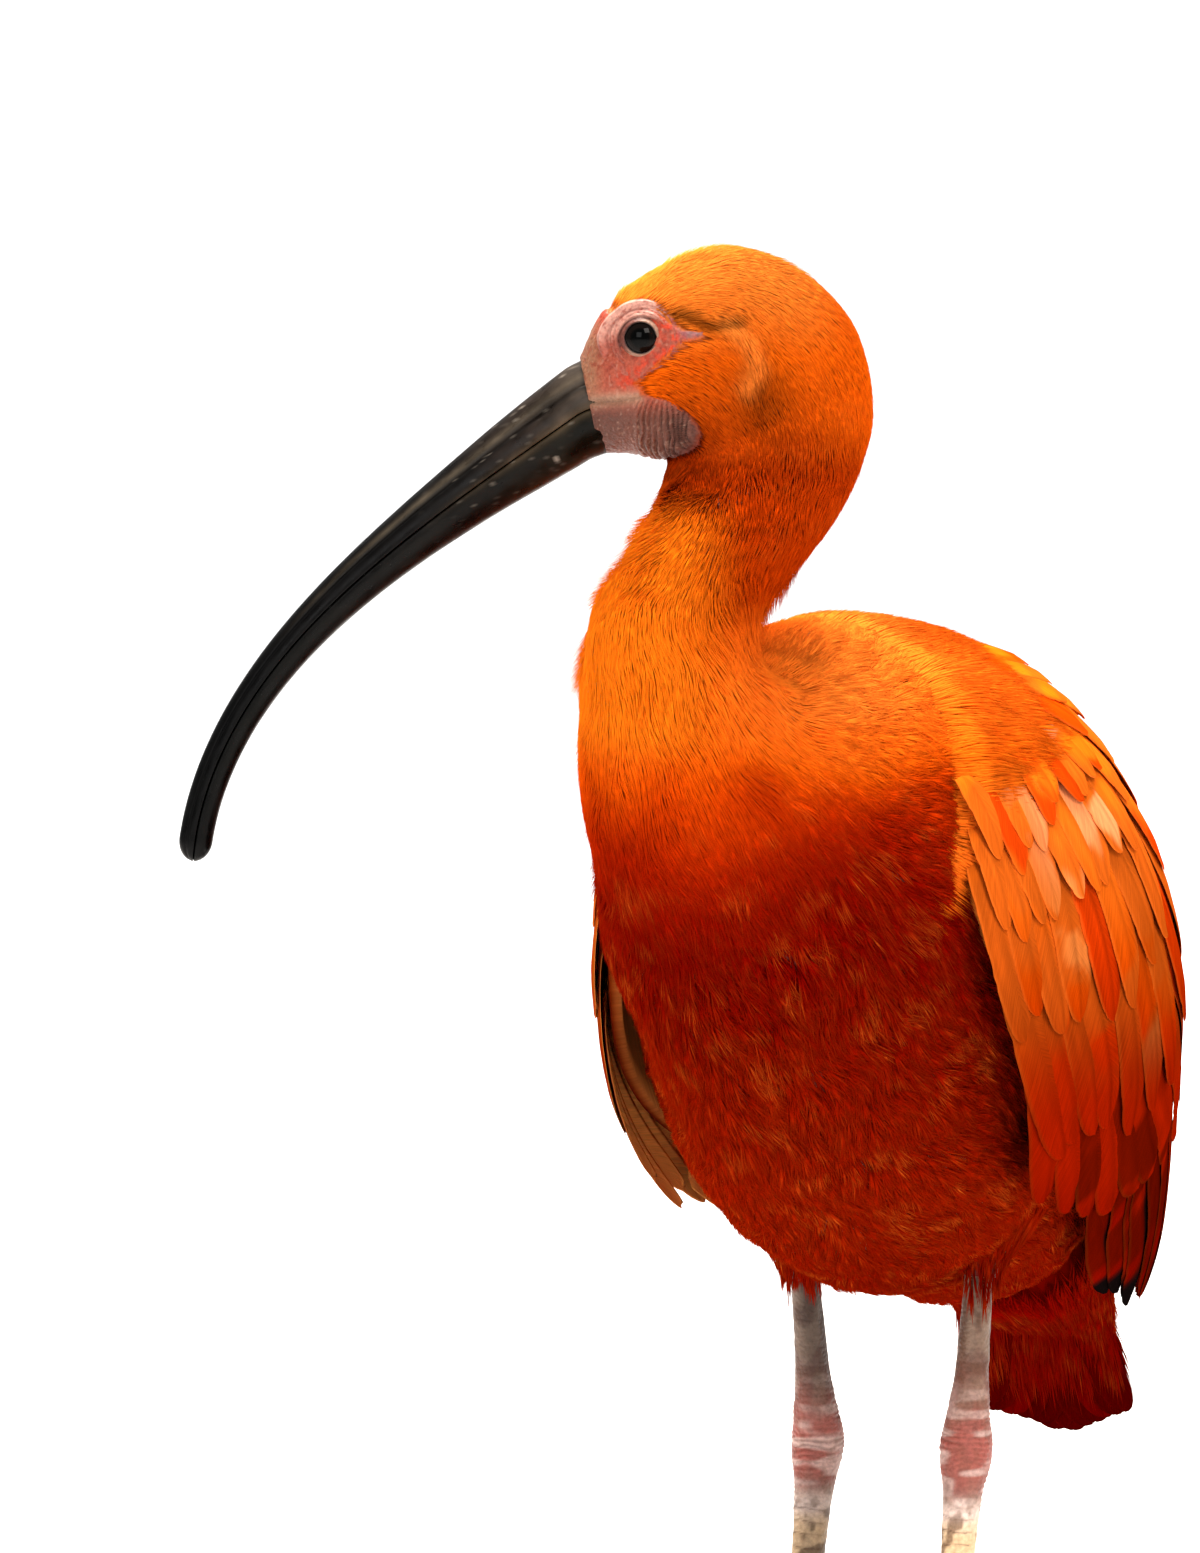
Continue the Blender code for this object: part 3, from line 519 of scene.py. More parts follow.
def outward_sign(surface: object) -> float:
    """Minus one where the cross product of a surface's two slopes points inward."""
    if isinstance(surface, WingSurface):
        return -surface.mirror[0]
    return 1.0 if surface is BODY else -1.0


def to_places(dp: Array, dq: Array, way: Array) -> Array:
    """The shift of (p, q) for a metre along a way on the surface, by least squares on the two slopes."""
    a, b, c = (dp * dp).sum(-1), (dp * dq).sum(-1), (dq * dq).sum(-1)
    u, v = (dp * way).sum(-1), (dq * way).sum(-1)
    det = np.maximum(a * c - b * b, 1e-3 * a * c + 1e-12)
    return np.stack([(c * u - b * v) / det, (a * v - b * u) / det], -1)


HEAD_TURN = math.radians(70)
HEAD_FORWARD = np.array([-math.sin(HEAD_TURN), -math.cos(HEAD_TURN), 0.0])
HEAD_LEFT = np.array([math.cos(HEAD_TURN), -math.sin(HEAD_TURN), 0.0])


def on_head(points: Array) -> tuple[Array, Array]:
    """Millimetres forward and up in the head's middle plane."""
    return points @ HEAD_FORWARD / MM, points[..., 2] / MM


# Feathers: slivers, fans of barbs and vanes

EAR_CREASE = ((50.0, 355.0), (43.0, 352.0), (36.7, 352.6))
EAR_RIDGE = ((38.2, 352.0), (33.8, 347.5), (32.3, 342.5), (34.7, 338.0))


@dataclass(frozen=True)
class Plumage:
    """The colours of the feathers by height on the standing bird, from dark scarlet to orange, with painted
    light and shade mixed into them.
    """

    # Partly the bird's own colours and partly painted shade: darker toward the belly, and a darker band from
    # 285 to 330 mm where the head shades the neck.
    heights: tuple[float, ...] = (
        60, 110, 150, 185, 205, 215, 228, 240, 247, 252, 257, 264, 275, 285, 294, 320, 330, 345, 366,
    )
    colours: tuple[str, ...] = (
        "600000", "6E0200", "881400", "7E0E00", "740500", "760200", "880A00", "A41A00", "BA2C00", "D44002",
        "E45404", "F66A10", "FC741A", "E45A0A", "B83600", "BC3802", "D04E06", "EA640A", "FF9636",
    )
    # The folded wing darkens toward its low edge, partly its own colour and partly painted shade.
    wing_heights: tuple[float, ...] = (110, 141, 157, 170, 182, 192, 201, 212, 226, 240, 252, 264, 300)
    wing_colours: tuple[str, ...] = (
        "620400", "700800", "841200", "861400", "941C00", "A02400",
        "AC3200", "BC4404", "D05A10", "DE6416", "E86812", "F46A0E", "FF7610",
    )
    nape: str = "EC6008"
    # Painted light on the lit front of the neck.
    painted_light_neck_front: str = "FC8014"
    # Painted light behind the neck's root, where the neck shades the mantle.
    neck_side: str = "FF8A2E"
    # Painted shade under the chin.
    throat: str = "6A1000"
    # Painted highlight on the ear's ridge.
    ear: str = "FF9A40"
    # Paler feather tips and blade edges: partly pale fringes, partly painted light.
    pale_fringe_and_light: str = "FF7A28"
    tan: str = "C05414"
    blood: str = "C42600"
    sand: str = "D87A38"
    peach: str = "F09660"
    black: str = "0A0606"
    # Painted glow: under sides of blades are blended toward this, standing for light shining through them.
    painted_glow: str = "FFA050"

    def at(self, points: Array, upward: Array | float = 0.0) -> Array:
        """The feather colour by height, read higher by noise, and read higher where the surface faces up as
        painted light from above; with painted light and shade on the neck and head.

        Args:
            points: positions before the box shift.
            upward: the z of the surface's normal there.

        Returns:
            Linear colours.
        """
        height = points[..., 2] / MM
        steady = 1 - 0.65 * ramp(height, 250, 270)
        z = height + steady * (14 * (noise(points, 0.026, 3) - 0.5) + 5 * (noise(points, 0.009, 4) - 0.5))
        # Painted light: where the surface faces up, the colour is read higher, toward the lit orange.
        lifted = z + 52 * np.clip(upward - 0.28, 0, 1) * (1 - ramp(height, 262, 300))
        z = np.minimum(lifted, np.maximum(z, 270))
        colour = gradient(z, self.heights, self.colours)
        forward, up = on_head(points)
        neck = ramp(height, 256, 266) * (1 - ramp(height, 308, 318))
        # Painted light: the neck's front, facing the light, is blended toward a bright gold-orange.
        colour = mix(colour, self.painted_light_neck_front, ramp(forward, 33, 54) * neck)
        side = ramp(height, 262, 270) * (1 - ramp(height, 286, 292))
        # Painted light: the mantle just behind the neck's root is lifted toward bright orange against the
        # shade the neck casts there.
        colour = mix(colour, self.neck_side, 0.8 * bell(forward - 12, 16) * side)
        colour = mix(colour, self.nape, 0.8 * (1 - ramp(forward, 10, 24)) * ramp(up, 318, 334))
        # Painted shade: a dark red pool under the chin.
        throat = bell(forward - 49, 8) * bell(up - 324, 7)
        colour = mix(colour, self.throat, 0.85 * throat)
        # Painted shade: darker in the crease behind the eye and in the hollow below the ear.
        crease = bell(outline_distance(forward, up, EAR_CREASE, closed=False), 2.0) * (up > 320)
        hollow = bell(forward - 31, 5.0) * bell(up - 335.5, 8)
        colour = colour * (1 - 0.60 * crease - 0.45 * hollow)[..., None]
        # Painted highlight: the ear's ridge is blended toward a pale orange where it catches the light.
        ridge = bell(outline_distance(forward, up, EAR_RIDGE, closed=False) - 0.6, 1.9) * (up > 320)
        return mix(colour, self.ear, 0.40 * ridge)

    def wing_at(self, points: Array) -> Array:
        """The folded wing's colour by height, read higher or lower by 20 mm noise."""
        z = points[..., 2] / MM + 16 * (noise(points, 0.020, 5) - 0.5)
        return gradient(z, self.wing_heights, self.wing_colours)


PLUMAGE = Plumage()


def slivers(paths: Array, normals: Array, half_widths: Array, thickness: float) -> tuple[Array, list[Array]]:
    """Closed slivers along paths: a point at each end, three-sided rings between, ridged above.

    Args:
        paths: positions of shape (n, rows, 3).
        normals: the way each place stands up, of the same shape.
        half_widths: metres, of shape (n, rows).
        thickness: height of the ridge as a share of the half width.

    Returns:
        Vertices of shape (n, 3 rows - 4, 3), ends first and last, and the faces.
    """
    n, rows = paths.shape[:2]
    across = unit(np.cross(np.gradient(paths, axis=1), normals))[:, 1:-1]
    middle, w = paths[:, 1:-1], half_widths[:, 1:-1, None]
    rings = np.stack([middle + across * w, middle - across * w, middle + normals[:, 1:-1] * w * thickness], 2)
    verts = np.concatenate([paths[:, :1], rings.reshape(n, -1, 3), paths[:, -1:]], 1)
    count = verts.shape[1]
    j, k = np.arange(3), (np.arange(3) + 1) % 3
    last = 1 + 3 * (rows - 3)
    tris = [np.stack([k + 1, j + 1, j * 0], -1), np.stack([j + last, k + last, j * 0 + count - 1], -1)]
    for row in range(rows - 3):
        a, b = 1 + 3 * row, 4 + 3 * row
        tris += [np.stack([j + a, k + a, k + b], -1), np.stack([j + a, k + b, j + b], -1)]
    pattern = np.concatenate(tris)
    faces = (np.arange(n)[:, None, None] * count + pattern[None]).reshape(-1, 3)
    return verts, [faces]


def per_vertex(values: Array) -> Array:
    """Values given for each row of a sliver, repeated for the three points of each ring between its ends."""
    return np.concatenate([values[:, :1], np.repeat(values[:, 1:-1], 3, axis=1), values[:, -1:]], 1)


@dataclass(frozen=True)
class Growth:
    """How one area's feathers grow: sizes in millimetres."""

    row_gap: float
    gap: float
    length: float
    half_spread: float
    barbs: int
    barb_width: float
    depth: float
    tip_lift: float
    fray: float
    tuft: float = 0.0


@dataclass
class Follicles:
    """Where feathers are rooted on a surface and which way each lies."""

    p: Array
    q: Array
    way: Array

    def keep(self, mask: Array) -> "Follicles":
        """Those under the mask."""
        return Follicles(self.p[mask], self.q[mask], self.way[mask])


def scatter(surface: object, p_range: Range, q_range: Range, growth: Growth, rng: Random) -> Follicles:
    """Roots in staggered rows, evenly spaced by arc length across, thinned where the rows run together.

    Args:
        surface: what they grow on.
        p_range: first and last place along.
        q_range: first and last place across.
        growth: gives the spacing.
        rng: the random source.

    Returns:
        The roots, with the lie set down the surface, against rising p.
    """
    fine_p = np.linspace(*p_range, 60)
    fine_q = np.linspace(*q_range, 120)
    net = surface.point(fine_p[:, None], fine_q[None, :])
    run = np.linalg.norm(np.diff(net, axis=0), axis=-1)
    widest = np.concatenate([[0], np.cumsum(np.percentile(run, 90, axis=1))])
    count = max(2, int(widest[-1] / (growth.row_gap * MM)))
    places = np.interp(np.linspace(0, widest[-1], count), widest, fine_p)
    rows_p, rows_q = [], []
    for row, place in enumerate(places):
        ring = surface.point(np.full(120, place), fine_q)
        arc = np.concatenate([[0], np.cumsum(np.linalg.norm(np.diff(ring, axis=0), axis=1))])
        number = max(1, round(arc[-1] / (growth.gap * MM)))
        at = (np.arange(number) + 0.5 * (row % 2) + rng.uniform(-0.35, 0.35, number)) / number * arc[-1]
        rows_q.append(np.interp(at, arc, fine_q))
        rows_p.append(place + rng.uniform(-0.4, 0.4, number) * (places[1] - places[0]))
    p, q = np.concatenate(rows_p), np.concatenate(rows_q)
    dp = slopes(surface, p, q)[0]
    reach = np.linalg.norm(dp, axis=-1) * abs(places[1] - places[0]) / (growth.row_gap * MM)
    found = Follicles(p, q, unit(dp))
    return found.keep(rng.uniform(0, 1, len(p)) < reach * 1.1)


def fans(surface: object, roots: Follicles, growth: Growth, rng: Random) -> dict[str, Array]:
    """Feathers as fans of barbs that leave a middle line and lie along the surface.

    A barb runs from x0 to x1 along the feather and out to y = side * half spread * s^1.3, laid on the
    surface by its slopes at the root. It rises from the skin at -depth to the coat's face at tip lift.

    Args:
        surface: what they grow on.
        roots: their roots and ways.
        growth: their sizes.
        rng: the random source.

    Returns:
        Paths, normals, half widths, the place along each barb, its feather's number and its root's place.
    """
    n, b = len(roots.p), growth.barbs
    s = np.array([0.0, 0.5, 1.0])
    dp, dq, normal = slopes(surface, roots.p, roots.q)
    way = unit(roots.way - (roots.way * normal).sum(-1, keepdims=True) * normal)
    across = np.cross(normal, way)
    per_way, per_across = to_places(dp, dq, way), to_places(dp, dq, across)
    side = rng.normal(0, 0.06 if b > 1 else 0.4, (n, b)) + (np.linspace(-1, 1, b) if b > 1 else 0.0)
    size = rng.normal(1.0, 0.10, (n, 1)) * rng.normal(1.0, 0.07, (n, b)) * growth.length * MM
    x0 = size * 0.55 * (1 - np.abs(side).clip(0, 1)) * (b > 1)
    x1 = size * (1 - 0.30 * side**2 * (b > 1))
    x = x0[..., None] + (x1 - x0)[..., None] * s
    y = side[..., None] * growth.half_spread * MM * s**1.3
    p = roots.p[:, None, None] + per_way[:, 0, None, None] * x + per_across[:, 0, None, None] * y
    q = roots.q[:, None, None] + per_way[:, 1, None, None] * x + per_across[:, 1, None, None] * y
    place = surface.point(p, q)
    up = slopes(surface, p, q)[2]
    t = x / (growth.length * MM)
    lift = (growth.depth + growth.tip_lift) * t.clip(0, 1.1) ** 0.8 - growth.depth
    lift = lift + rng.normal(0, 0.06, (n, b))[..., None]
    tufts = ramp(noise(place, 0.0065, 77), 0.52, 0.80) * growth.tuft
    lift = (lift + tufts * t.clip(0, 1.2) ** 2) * MM
    width = growth.barb_width * MM / 2 * np.sin(np.pi * s)
    flat = (n * b, len(s))
    return {
        "paths": (place + up * lift[..., None]).reshape(*flat, 3),
        "normals": up.reshape(*flat, 3),
        "widths": np.broadcast_to(width, (n, b, len(s))).reshape(flat) * rng.uniform(0.8, 1.2, (n * b, 1)),
        "along": t.reshape(flat),
        "feather": np.repeat(np.arange(n), b),
        "root": np.stack([np.repeat(roots.p, b), np.repeat(roots.q, b)], -1),
    }


# The size of one barb's own patch on the bake map
BARB_PATCH = 0.003


def coat_object(name: str, fan: dict[str, Array], colours: Array, material: Material, bake: Range) -> Piece:
    """A joined mesh of barbs with its colours and bake map.

    Args:
        name: the piece's name.
        fan: what fans() gives.
        colours: linear colours for each row of each barb.
        material: its finish.
        bake: the size of the root places in p and q, brought to 0..1 on the bake map.

    Returns:
        The object.
    """
    verts, faces = slivers(fan["paths"], fan["normals"], fan["widths"], 0.7)
    obj = new_object(name, verts, faces, material)
    set_attribute(obj, "Tint", per_vertex(colours))
    rows = fan["along"].shape[1]
    across = np.concatenate([[0.5], np.tile([0.0, 1.0, 0.5], rows - 2), [0.5]])
    along = per_vertex(np.broadcast_to(np.linspace(0, 1, rows), fan["along"].shape))
    root = (fan["root"] / np.array(bake)) % 1.0 * 0.98
    uv = root[:, None, :] + BARB_PATCH * np.stack([along, np.broadcast_to(across, along.shape)], -1)
    set_uv(obj, uv)
    return obj


@dataclass(frozen=True)
class Tier:
    """A tier of flat feathers: root and tip places from the first to the last, sizes, lifts and shades."""

    name: str
    count: int
    roots: tuple[Range, ...]
    tips: tuple[Range, ...]
    half: Range
    lift_root: float
    lift_tips: Range
    tip_roundness: float = 0.22
    jitter: float = 0.012
    pale: float = 0.0
    stack: float = 0.05


@dataclass
class Vanes:
    """Flat feathers as closed plates, thick millimetres at the shaft: their points and each one's place."""

    rows: ClassVar[int] = 26
    columns: ClassVar[int] = 11
    thick: ClassVar[float] = 0.35
    outer: Array
    inner: Array
    s: Array
    w: Array
    length: Array
    index: Array

    @property
    def count(self) -> int:
        """How many feathers."""
        return len(self.outer)


def vanes(surface: object, tier: Tier, rng: Random) -> Vanes:
    """Feathers on a surface, each straight in (p, q) from root to tip with its edges set out across.

    Half width = half * (0.5 + 0.5 sqrt(s / 0.25)) to a round end sqrt(1 - ((s - e)/(1 - e))^2) past e.
    The blade falls from the shaft by w^2 and leans by stack * w, so that its low edge lies on its
    neighbour; its edge is notched by noise. Lift runs from root to tip by sqrt(s), with a dip at the end.

    Args:
        surface: what they lie on.
        tier: their sizes and places.
        rng: the random source.

    Returns:
        The feathers.
    """
    n, rows, columns = tier.count, Vanes.rows, Vanes.columns
    f = (np.arange(n) / max(n - 1, 1))[:, None]
    root, tip = [
        hermite(np.linspace(0, 1, len(line)), np.array(line), f[:, 0])
        + rng.normal(0, tier.jitter, (n, 2)) * (0.5, 1.0)
        for line in (tier.roots, tier.tips)
    ]
    s = 1 - (1 - np.linspace(0, 1, rows)) ** 1.35
    w = np.linspace(-1, 1, columns)
    p = root[:, :1] + (tip - root)[:, :1] * s
    q = root[:, 1:] + (tip - root)[:, 1:] * s
    middle = surface.point(p, q)
    dp, dq, normal = slopes(surface, p, q)
    along = unit(np.gradient(middle, axis=1))
    across = unit(np.cross(normal, along))
    length = np.linalg.norm(np.diff(middle, axis=1), axis=-1).sum(1)
    half = (tier.half[0] + (tier.half[1] - tier.half[0]) * f) * rng.uniform(0.94, 1.06, (n, 1))
    e = 1 - tier.tip_roundness
    body = 0.5 + 0.5 * np.sqrt(np.clip(s / 0.25, 0, 1))
    end = np.sqrt(np.clip(1 - ((s - e).clip(0) / (1 - e)) ** 2, 0.0025, 1))
    reach = half * (body * end)
    seeds = np.arange(n)[:, None, None] * 7.3
    run = s[None, :, None] * length[:, None, None] / MM
    notch_at = stacked(run, w * 0.6, seeds)
    notch = 1 - 0.09 * np.abs(w) ** 4 * ramp(noise(notch_at, 1.6, 11), 0.45, 0.95)
    shift = to_places(dp, dq, across)
    out = reach[..., None] * w * notch
    pe = p[..., None] + shift[..., 0, None] * out
    qe = q[..., None] + shift[..., 1, None] * out
    place = surface.point(pe, qe)
    up = slopes(surface, pe, qe)[2]
    tips = tier.lift_tips[0] + (tier.lift_tips[1] - tier.lift_tips[0]) * f
    lift = tier.lift_root + (tips - tier.lift_root) * np.sqrt(s) - 0.5 * ramp(s, 0.75, 1.0)
    lower = np.sign((dq * across).sum(-1))[..., None]
    camber = half[..., None] * (0.05 * (1 - w**2) + tier.stack * w * lower)
    shaft = 0.22 * MM * bell(w, 0.09) * (1 - 0.7 * s[:, None])
    wave = 0.12 * MM * (noise(notch_at * (0.25, 1, 1), 1.0, 12) - 0.5)
    rise = lift[..., None] * MM + camber + shaft + wave
    thick = Vanes.thick * MM * (0.35 + 0.65 * bell(w, 0.5)) * np.ones((n, rows, 1))
    thick[:, -1] *= 0.3
    return Vanes(
        place + up * (rise + thick / 2)[..., None],
        place + up * (rise - thick / 2)[..., None],
        np.broadcast_to(s[None, :, None], rise.shape),
        np.broadcast_to(w, rise.shape),
        np.broadcast_to(length[:, None, None], rise.shape),
        np.broadcast_to(np.arange(n)[:, None, None], rise.shape),
    )


def there_and_back(outer: Array, inner: Array) -> Array:
    """Two grids as one that runs out over the first and back under it over the second."""
    return np.concatenate([outer, inner[:, :, ::-1]], 2)


def vane_object(name: str, blades: Vanes, colours: Array, material: Material, painted_glow: float = 0.0) -> Piece:
    """Joined plates: each a closed shell of its outer and inner grids, with an own cell on the bake map.

    Args:
        name: the piece's name.
        blades: the feathers.
        colours: linear colours of the outer points.
        material: its finish.
        painted_glow: how far the under side goes toward the glow of light through the blades.

    Returns:
        The object.
    """
    n, rows, columns = blades.s.shape
    around = 2 * columns
    quads = grid_faces(rows, around, 0, around=True)
    ends = []
    for row, flip in ((0, 1), (rows - 1, -1)):
        j = np.arange(columns - 1)
        cap = row * around + np.stack([j, j + 1, around - 2 - j, around - 1 - j], -1)
        ends.append(cap[:, ::-1] if flip > 0 else cap)
    pattern = np.concatenate([quads, *ends])
    faces = (np.arange(n)[:, None, None] * rows * around + pattern).reshape(-1, 4)
    obj = new_object(name, there_and_back(blades.outer, blades.inner), [faces], material)
    # Painted glow: the under side is blended toward a pale orange standing for light through the blade.
    under = mix(colours, PLUMAGE.painted_glow, painted_glow)
    set_attribute(obj, "Tint", there_and_back(colours, under))
    run = np.stack([blades.s * blades.length / MM, np.abs(blades.w) * 6.0, blades.index * 1.0], -1)
    set_attribute(obj, "Vane", there_and_back(run, run))
    cells = math.ceil(math.sqrt(n))
    column, row = blades.index % cells, blades.index // cells
    top = np.stack([column + 0.04 + 0.44 * (blades.w + 1) / 2, row + 0.04 + 0.92 * blades.s], -1) / cells
    set_uv(obj, there_and_back(top, top + np.array([0.47 / cells, 0.0])))
    return obj


# Finishes, each named for what it is in life


def new_finish(name: str, roughness: float = 0.5, gloss: float = 0.5) -> tuple[Material, Tree, Node]:
    """A new material with its nodes and its shader, the roughness and the specular level set there."""
    material = bpy.data.materials.new(name)
    material.use_nodes = True
    shader = material.node_tree.nodes["Principled BSDF"]
    shader.inputs["Roughness"].default_value = roughness
    shader.inputs["Specular IOR Level"].default_value = gloss
    return material, material.node_tree, shader


def mesh_colour(tree: Tree, shader: Node, pattern: Node, found: Range, levels: Range) -> None:
    """Gives the shader the mesh's own colour, made darker and brighter by a pattern.

    Args:
        tree: the material's nodes.
        shader: its shader.
        pattern: the node whose first output is the pattern.
        found: the pattern's values where the colour is darkest and brightest.
        levels: the brightness there.
    """
    tint = add_node(tree, "ShaderNodeAttribute", attribute_name="Tint")
    span = {"Value": pattern.outputs[0], 1: found[0], 2: found[1], 3: levels[0], 4: levels[1]}
    value = add_node(tree, "ShaderNodeMapRange", span)
    inputs = {"Color": tint.outputs["Color"], "Value": value.outputs[0]}
    colour = add_node(tree, "ShaderNodeHueSaturation", inputs)
    tree.links.new(colour.outputs[0], shader.inputs["Base Color"])


@dataclass(frozen=True)
class FeatherBarbs:
    """Keratin barbs of contour feathers: soft and dull, with no shine of their own."""

    name: str = "plumage_barbs"
    roughness: float = 0.8
    patches: float = 330.0

    def build(self) -> Material:
        """Reads the barb's own colour and lets 3 mm noise shift it a little, as pigment does."""
        material, tree, shader = new_finish(self.name, self.roughness, 0.0)
        place = add_node(tree, "ShaderNodeTexCoord").outputs["Object"]
        patch = add_node(tree, "ShaderNodeTexNoise", {"Vector": place, "Scale": self.patches, "Detail": 3.0})
        mesh_colour(tree, shader, patch, (0.3, 0.7), (0.95, 1.05))
        return material


@dataclass(frozen=True)
class FeatherVane:
    """Zipped barbs of a flight feather: a smooth dull blade with fine slanting lines.

    The lines are 0.55 mm apart. A real barb is finer, and would not show at this size of picture.
    """

    name: str = "plumage_vane"
    roughness: float = 0.5
    line_gap: float = 0.55
    slant: float = -1.5
    bump: float = 0.35

    def build(self) -> Material:
        """Slanted lines from the run along the blade less the way out from the shaft, in bump and colour."""
        material, tree, shader = new_finish(self.name, self.roughness, 0.0)
        run = add_node(tree, "ShaderNodeAttribute", attribute_name="Vane")
        split = add_node(tree, "ShaderNodeSeparateXYZ", {"Vector": run.outputs["Vector"]})
        along, out, blade = split.outputs
        slant = add_node(tree, "ShaderNodeMath", {0: out, 1: self.slant, 2: along}, operation="MULTIPLY_ADD")
        a_gap = {0: slant.outputs[0], 1: 1 / self.line_gap}
        scaled = add_node(tree, "ShaderNodeMath", a_gap, operation="MULTIPLY")
        slow = add_node(tree, "ShaderNodeMath", {0: out, 1: 0.12}, operation="MULTIPLY")
        vector = add_node(
            tree, "ShaderNodeCombineXYZ", {"X": scaled.outputs[0], "Y": slow.outputs[0], "Z": blade}
        )
        size = {"Vector": vector.outputs[0], "Scale": 1.0, "Detail": 4.0}
        lines = add_node(tree, "ShaderNodeTexNoise", size)
        mesh_colour(tree, shader, lines, (0.3, 0.7), (0.78, 1.16))
        height = {"Height": lines.outputs[0], "Strength": self.bump, "Distance": 0.0003}
        bump = add_node(tree, "ShaderNodeBump", height)
        tree.links.new(bump.outputs[0], shader.inputs["Normal"])
        return material


@dataclass(frozen=True)
class BareSkin:
    """Bare skin with small round papillae: moist-looking, with light passing a little into it."""

    name: str
    grain: float
    strength: float
    roughness: float
    scatter: float = 0.12
    gloss: float = 0.24
    reach: Point = (0.0012, 0.0005, 0.0003)

    def build(self) -> Material:
        """Colour from the mesh, broken by noise; papillae from cells of the grain's size in millimetres."""
        material, tree, shader = new_finish(self.name, self.roughness, self.gloss)
        place = add_node(tree, "ShaderNodeTexCoord").outputs["Object"]
        cells = add_node(tree, "ShaderNodeTexVoronoi", {"Vector": place, "Scale": 1000.0 / self.grain})
        size = {"Vector": place, "Scale": 900.0 / self.grain, "Detail": 4.0}
        fine = add_node(tree, "ShaderNodeTexNoise", size)
        mesh_colour(tree, shader, fine, (0.3, 0.7), (0.78, 1.18))
        round_tops = {0: cells.outputs["Distance"], 1: -1.0, 2: fine.outputs[0]}
        height = add_node(tree, "ShaderNodeMath", round_tops, operation="MULTIPLY_ADD")
        relief = {"Height": height.outputs[0], "Strength": self.strength, "Distance": 0.0005 * self.grain}
        bump = add_node(tree, "ShaderNodeBump", relief)
        tree.links.new(bump.outputs[0], shader.inputs["Normal"])
        shader.inputs["Subsurface Weight"].default_value = self.scatter
        shader.inputs["Subsurface Radius"].default_value = self.reach
        return material


@dataclass(frozen=True)
class BillHorn:
    """Horn of the bill: worn keratin, satin at the root and polished to near black at the tip."""

    name: str = "bill_horn"
    gloss: float = 0.08
    bump: float = 0.3

    def build(self) -> Material:
        """Colour from the mesh with long streaks; fine wear lines along the bill give its broken gloss."""
        material, tree, shader = new_finish(self.name, gloss=self.gloss)
        run = add_node(tree, "ShaderNodeAttribute", attribute_name="Run").outputs["Vector"]
        streak = add_node(tree, "ShaderNodeTexNoise", {"Vector": run, "Scale": 1.0, "Detail": 6.0})
        mesh_colour(tree, shader, streak, (0.3, 0.72), (0.55, 1.5))
        polish = {"Value": streak.outputs[0], 1: 0.35, 2: 0.7, 3: 0.25, 4: 0.5}
        rough = add_node(tree, "ShaderNodeMapRange", polish)
        height = {"Height": streak.outputs[0], "Strength": self.bump, "Distance": 0.0003}
        bump = add_node(tree, "ShaderNodeBump", height)
        tree.links.new(rough.outputs[0], shader.inputs["Roughness"])
        tree.links.new(bump.outputs[0], shader.inputs["Normal"])
        return material


@dataclass(frozen=True)
class WetEye:
    """Cornea over a black-brown iris: smooth and wet, so that it gives one sharp light."""

    name: str = "eye_dark"
    roughness: float = 0.04
    gloss: float = 0.12
    ior: float = 1.376

    def build(self) -> Material:
        """Colour from the mesh, smooth all over."""
        material, tree, shader = new_finish(self.name, self.roughness, self.gloss)
        tint = add_node(tree, "ShaderNodeAttribute", attribute_name="Tint")
        tree.links.new(tint.outputs["Color"], shader.inputs["Base Color"])
        shader.inputs["IOR"].default_value = self.ior
        return material


@dataclass(frozen=True)
class StudioPaper:
    """Matt white background paper, seamless from floor to wall."""

    name: str = "studio_paper"
    roughness: float = 0.9

    def build(self) -> Material:
        """White with faint noise."""
        material, tree, shader = new_finish(self.name, self.roughness)
        place = add_node(tree, "ShaderNodeTexCoord").outputs["Object"]
        grain = add_node(tree, "ShaderNodeTexNoise", {"Vector": place, "Scale": 40.0, "Detail": 3.0})
        shade = add_node(tree, "ShaderNodeMapRange", {"Value": grain.outputs[0], 3: 0.90, 4: 0.93})
        tree.links.new(shade.outputs[0], shader.inputs["Base Color"])
        return material


# The head's bare face, in millimetres forward and up

FACE_OUTLINE = (
    (76.0, 344.6), (68.0, 357.2), (66.3, 355.9), (63.6, 354.3), (60.8, 356.5), (55.7, 355.9), (52.1, 353.0),
    (49.3, 351.0), (44.2, 351.2), (44.2, 349.9), (49.3, 348.6), (52.1, 346.4), (55.0, 343.3), (58.3, 340.6),
    (60.3, 339.3), (58.3, 336.6), (53.9, 336.2), (50.2, 334.9), (47.3, 332.2), (45.3, 328.5), (47.3, 325.2),
    (51.3, 323.0), (58.3, 320.3), (76.0, 320.3),
)
MOUTH_LINE = ((70.0, 335.1), (64.0, 335.3), (58.5, 336.0))
GAPE_LINE = ((68.5, 335.4), (59.0, 336.4))


def bareness(points: Array) -> Array:
    """One on the bare face, nought where feathers grow, by the distance to the face's outline."""
    forward, up = on_head(points)
    wander = 0.8 * (noise(points, 0.0016, 21) - 0.5)
    inside = outline_distance(forward, up, FACE_OUTLINE) + wander
    return (1 - ramp(inside, -0.35, 0.35)) * (up > 316) * (forward > 40)


def head_relief(points: Array) -> Array:
    """Metres the head's feathers stand out: a crease behind the eye and a ridge at the ear, by distance."""
    forward, up = on_head(points)
    crease = bell(outline_distance(forward, up, EAR_CREASE, closed=False), 1.3)
    ridge = bell(outline_distance(forward, up, EAR_RIDGE, closed=False), 1.9)
    soft = noise(points, 0.011, 31) - 0.5
    return MM * (-1.5 * crease + 1.1 * ridge + 0.6 * soft * (up > 315))


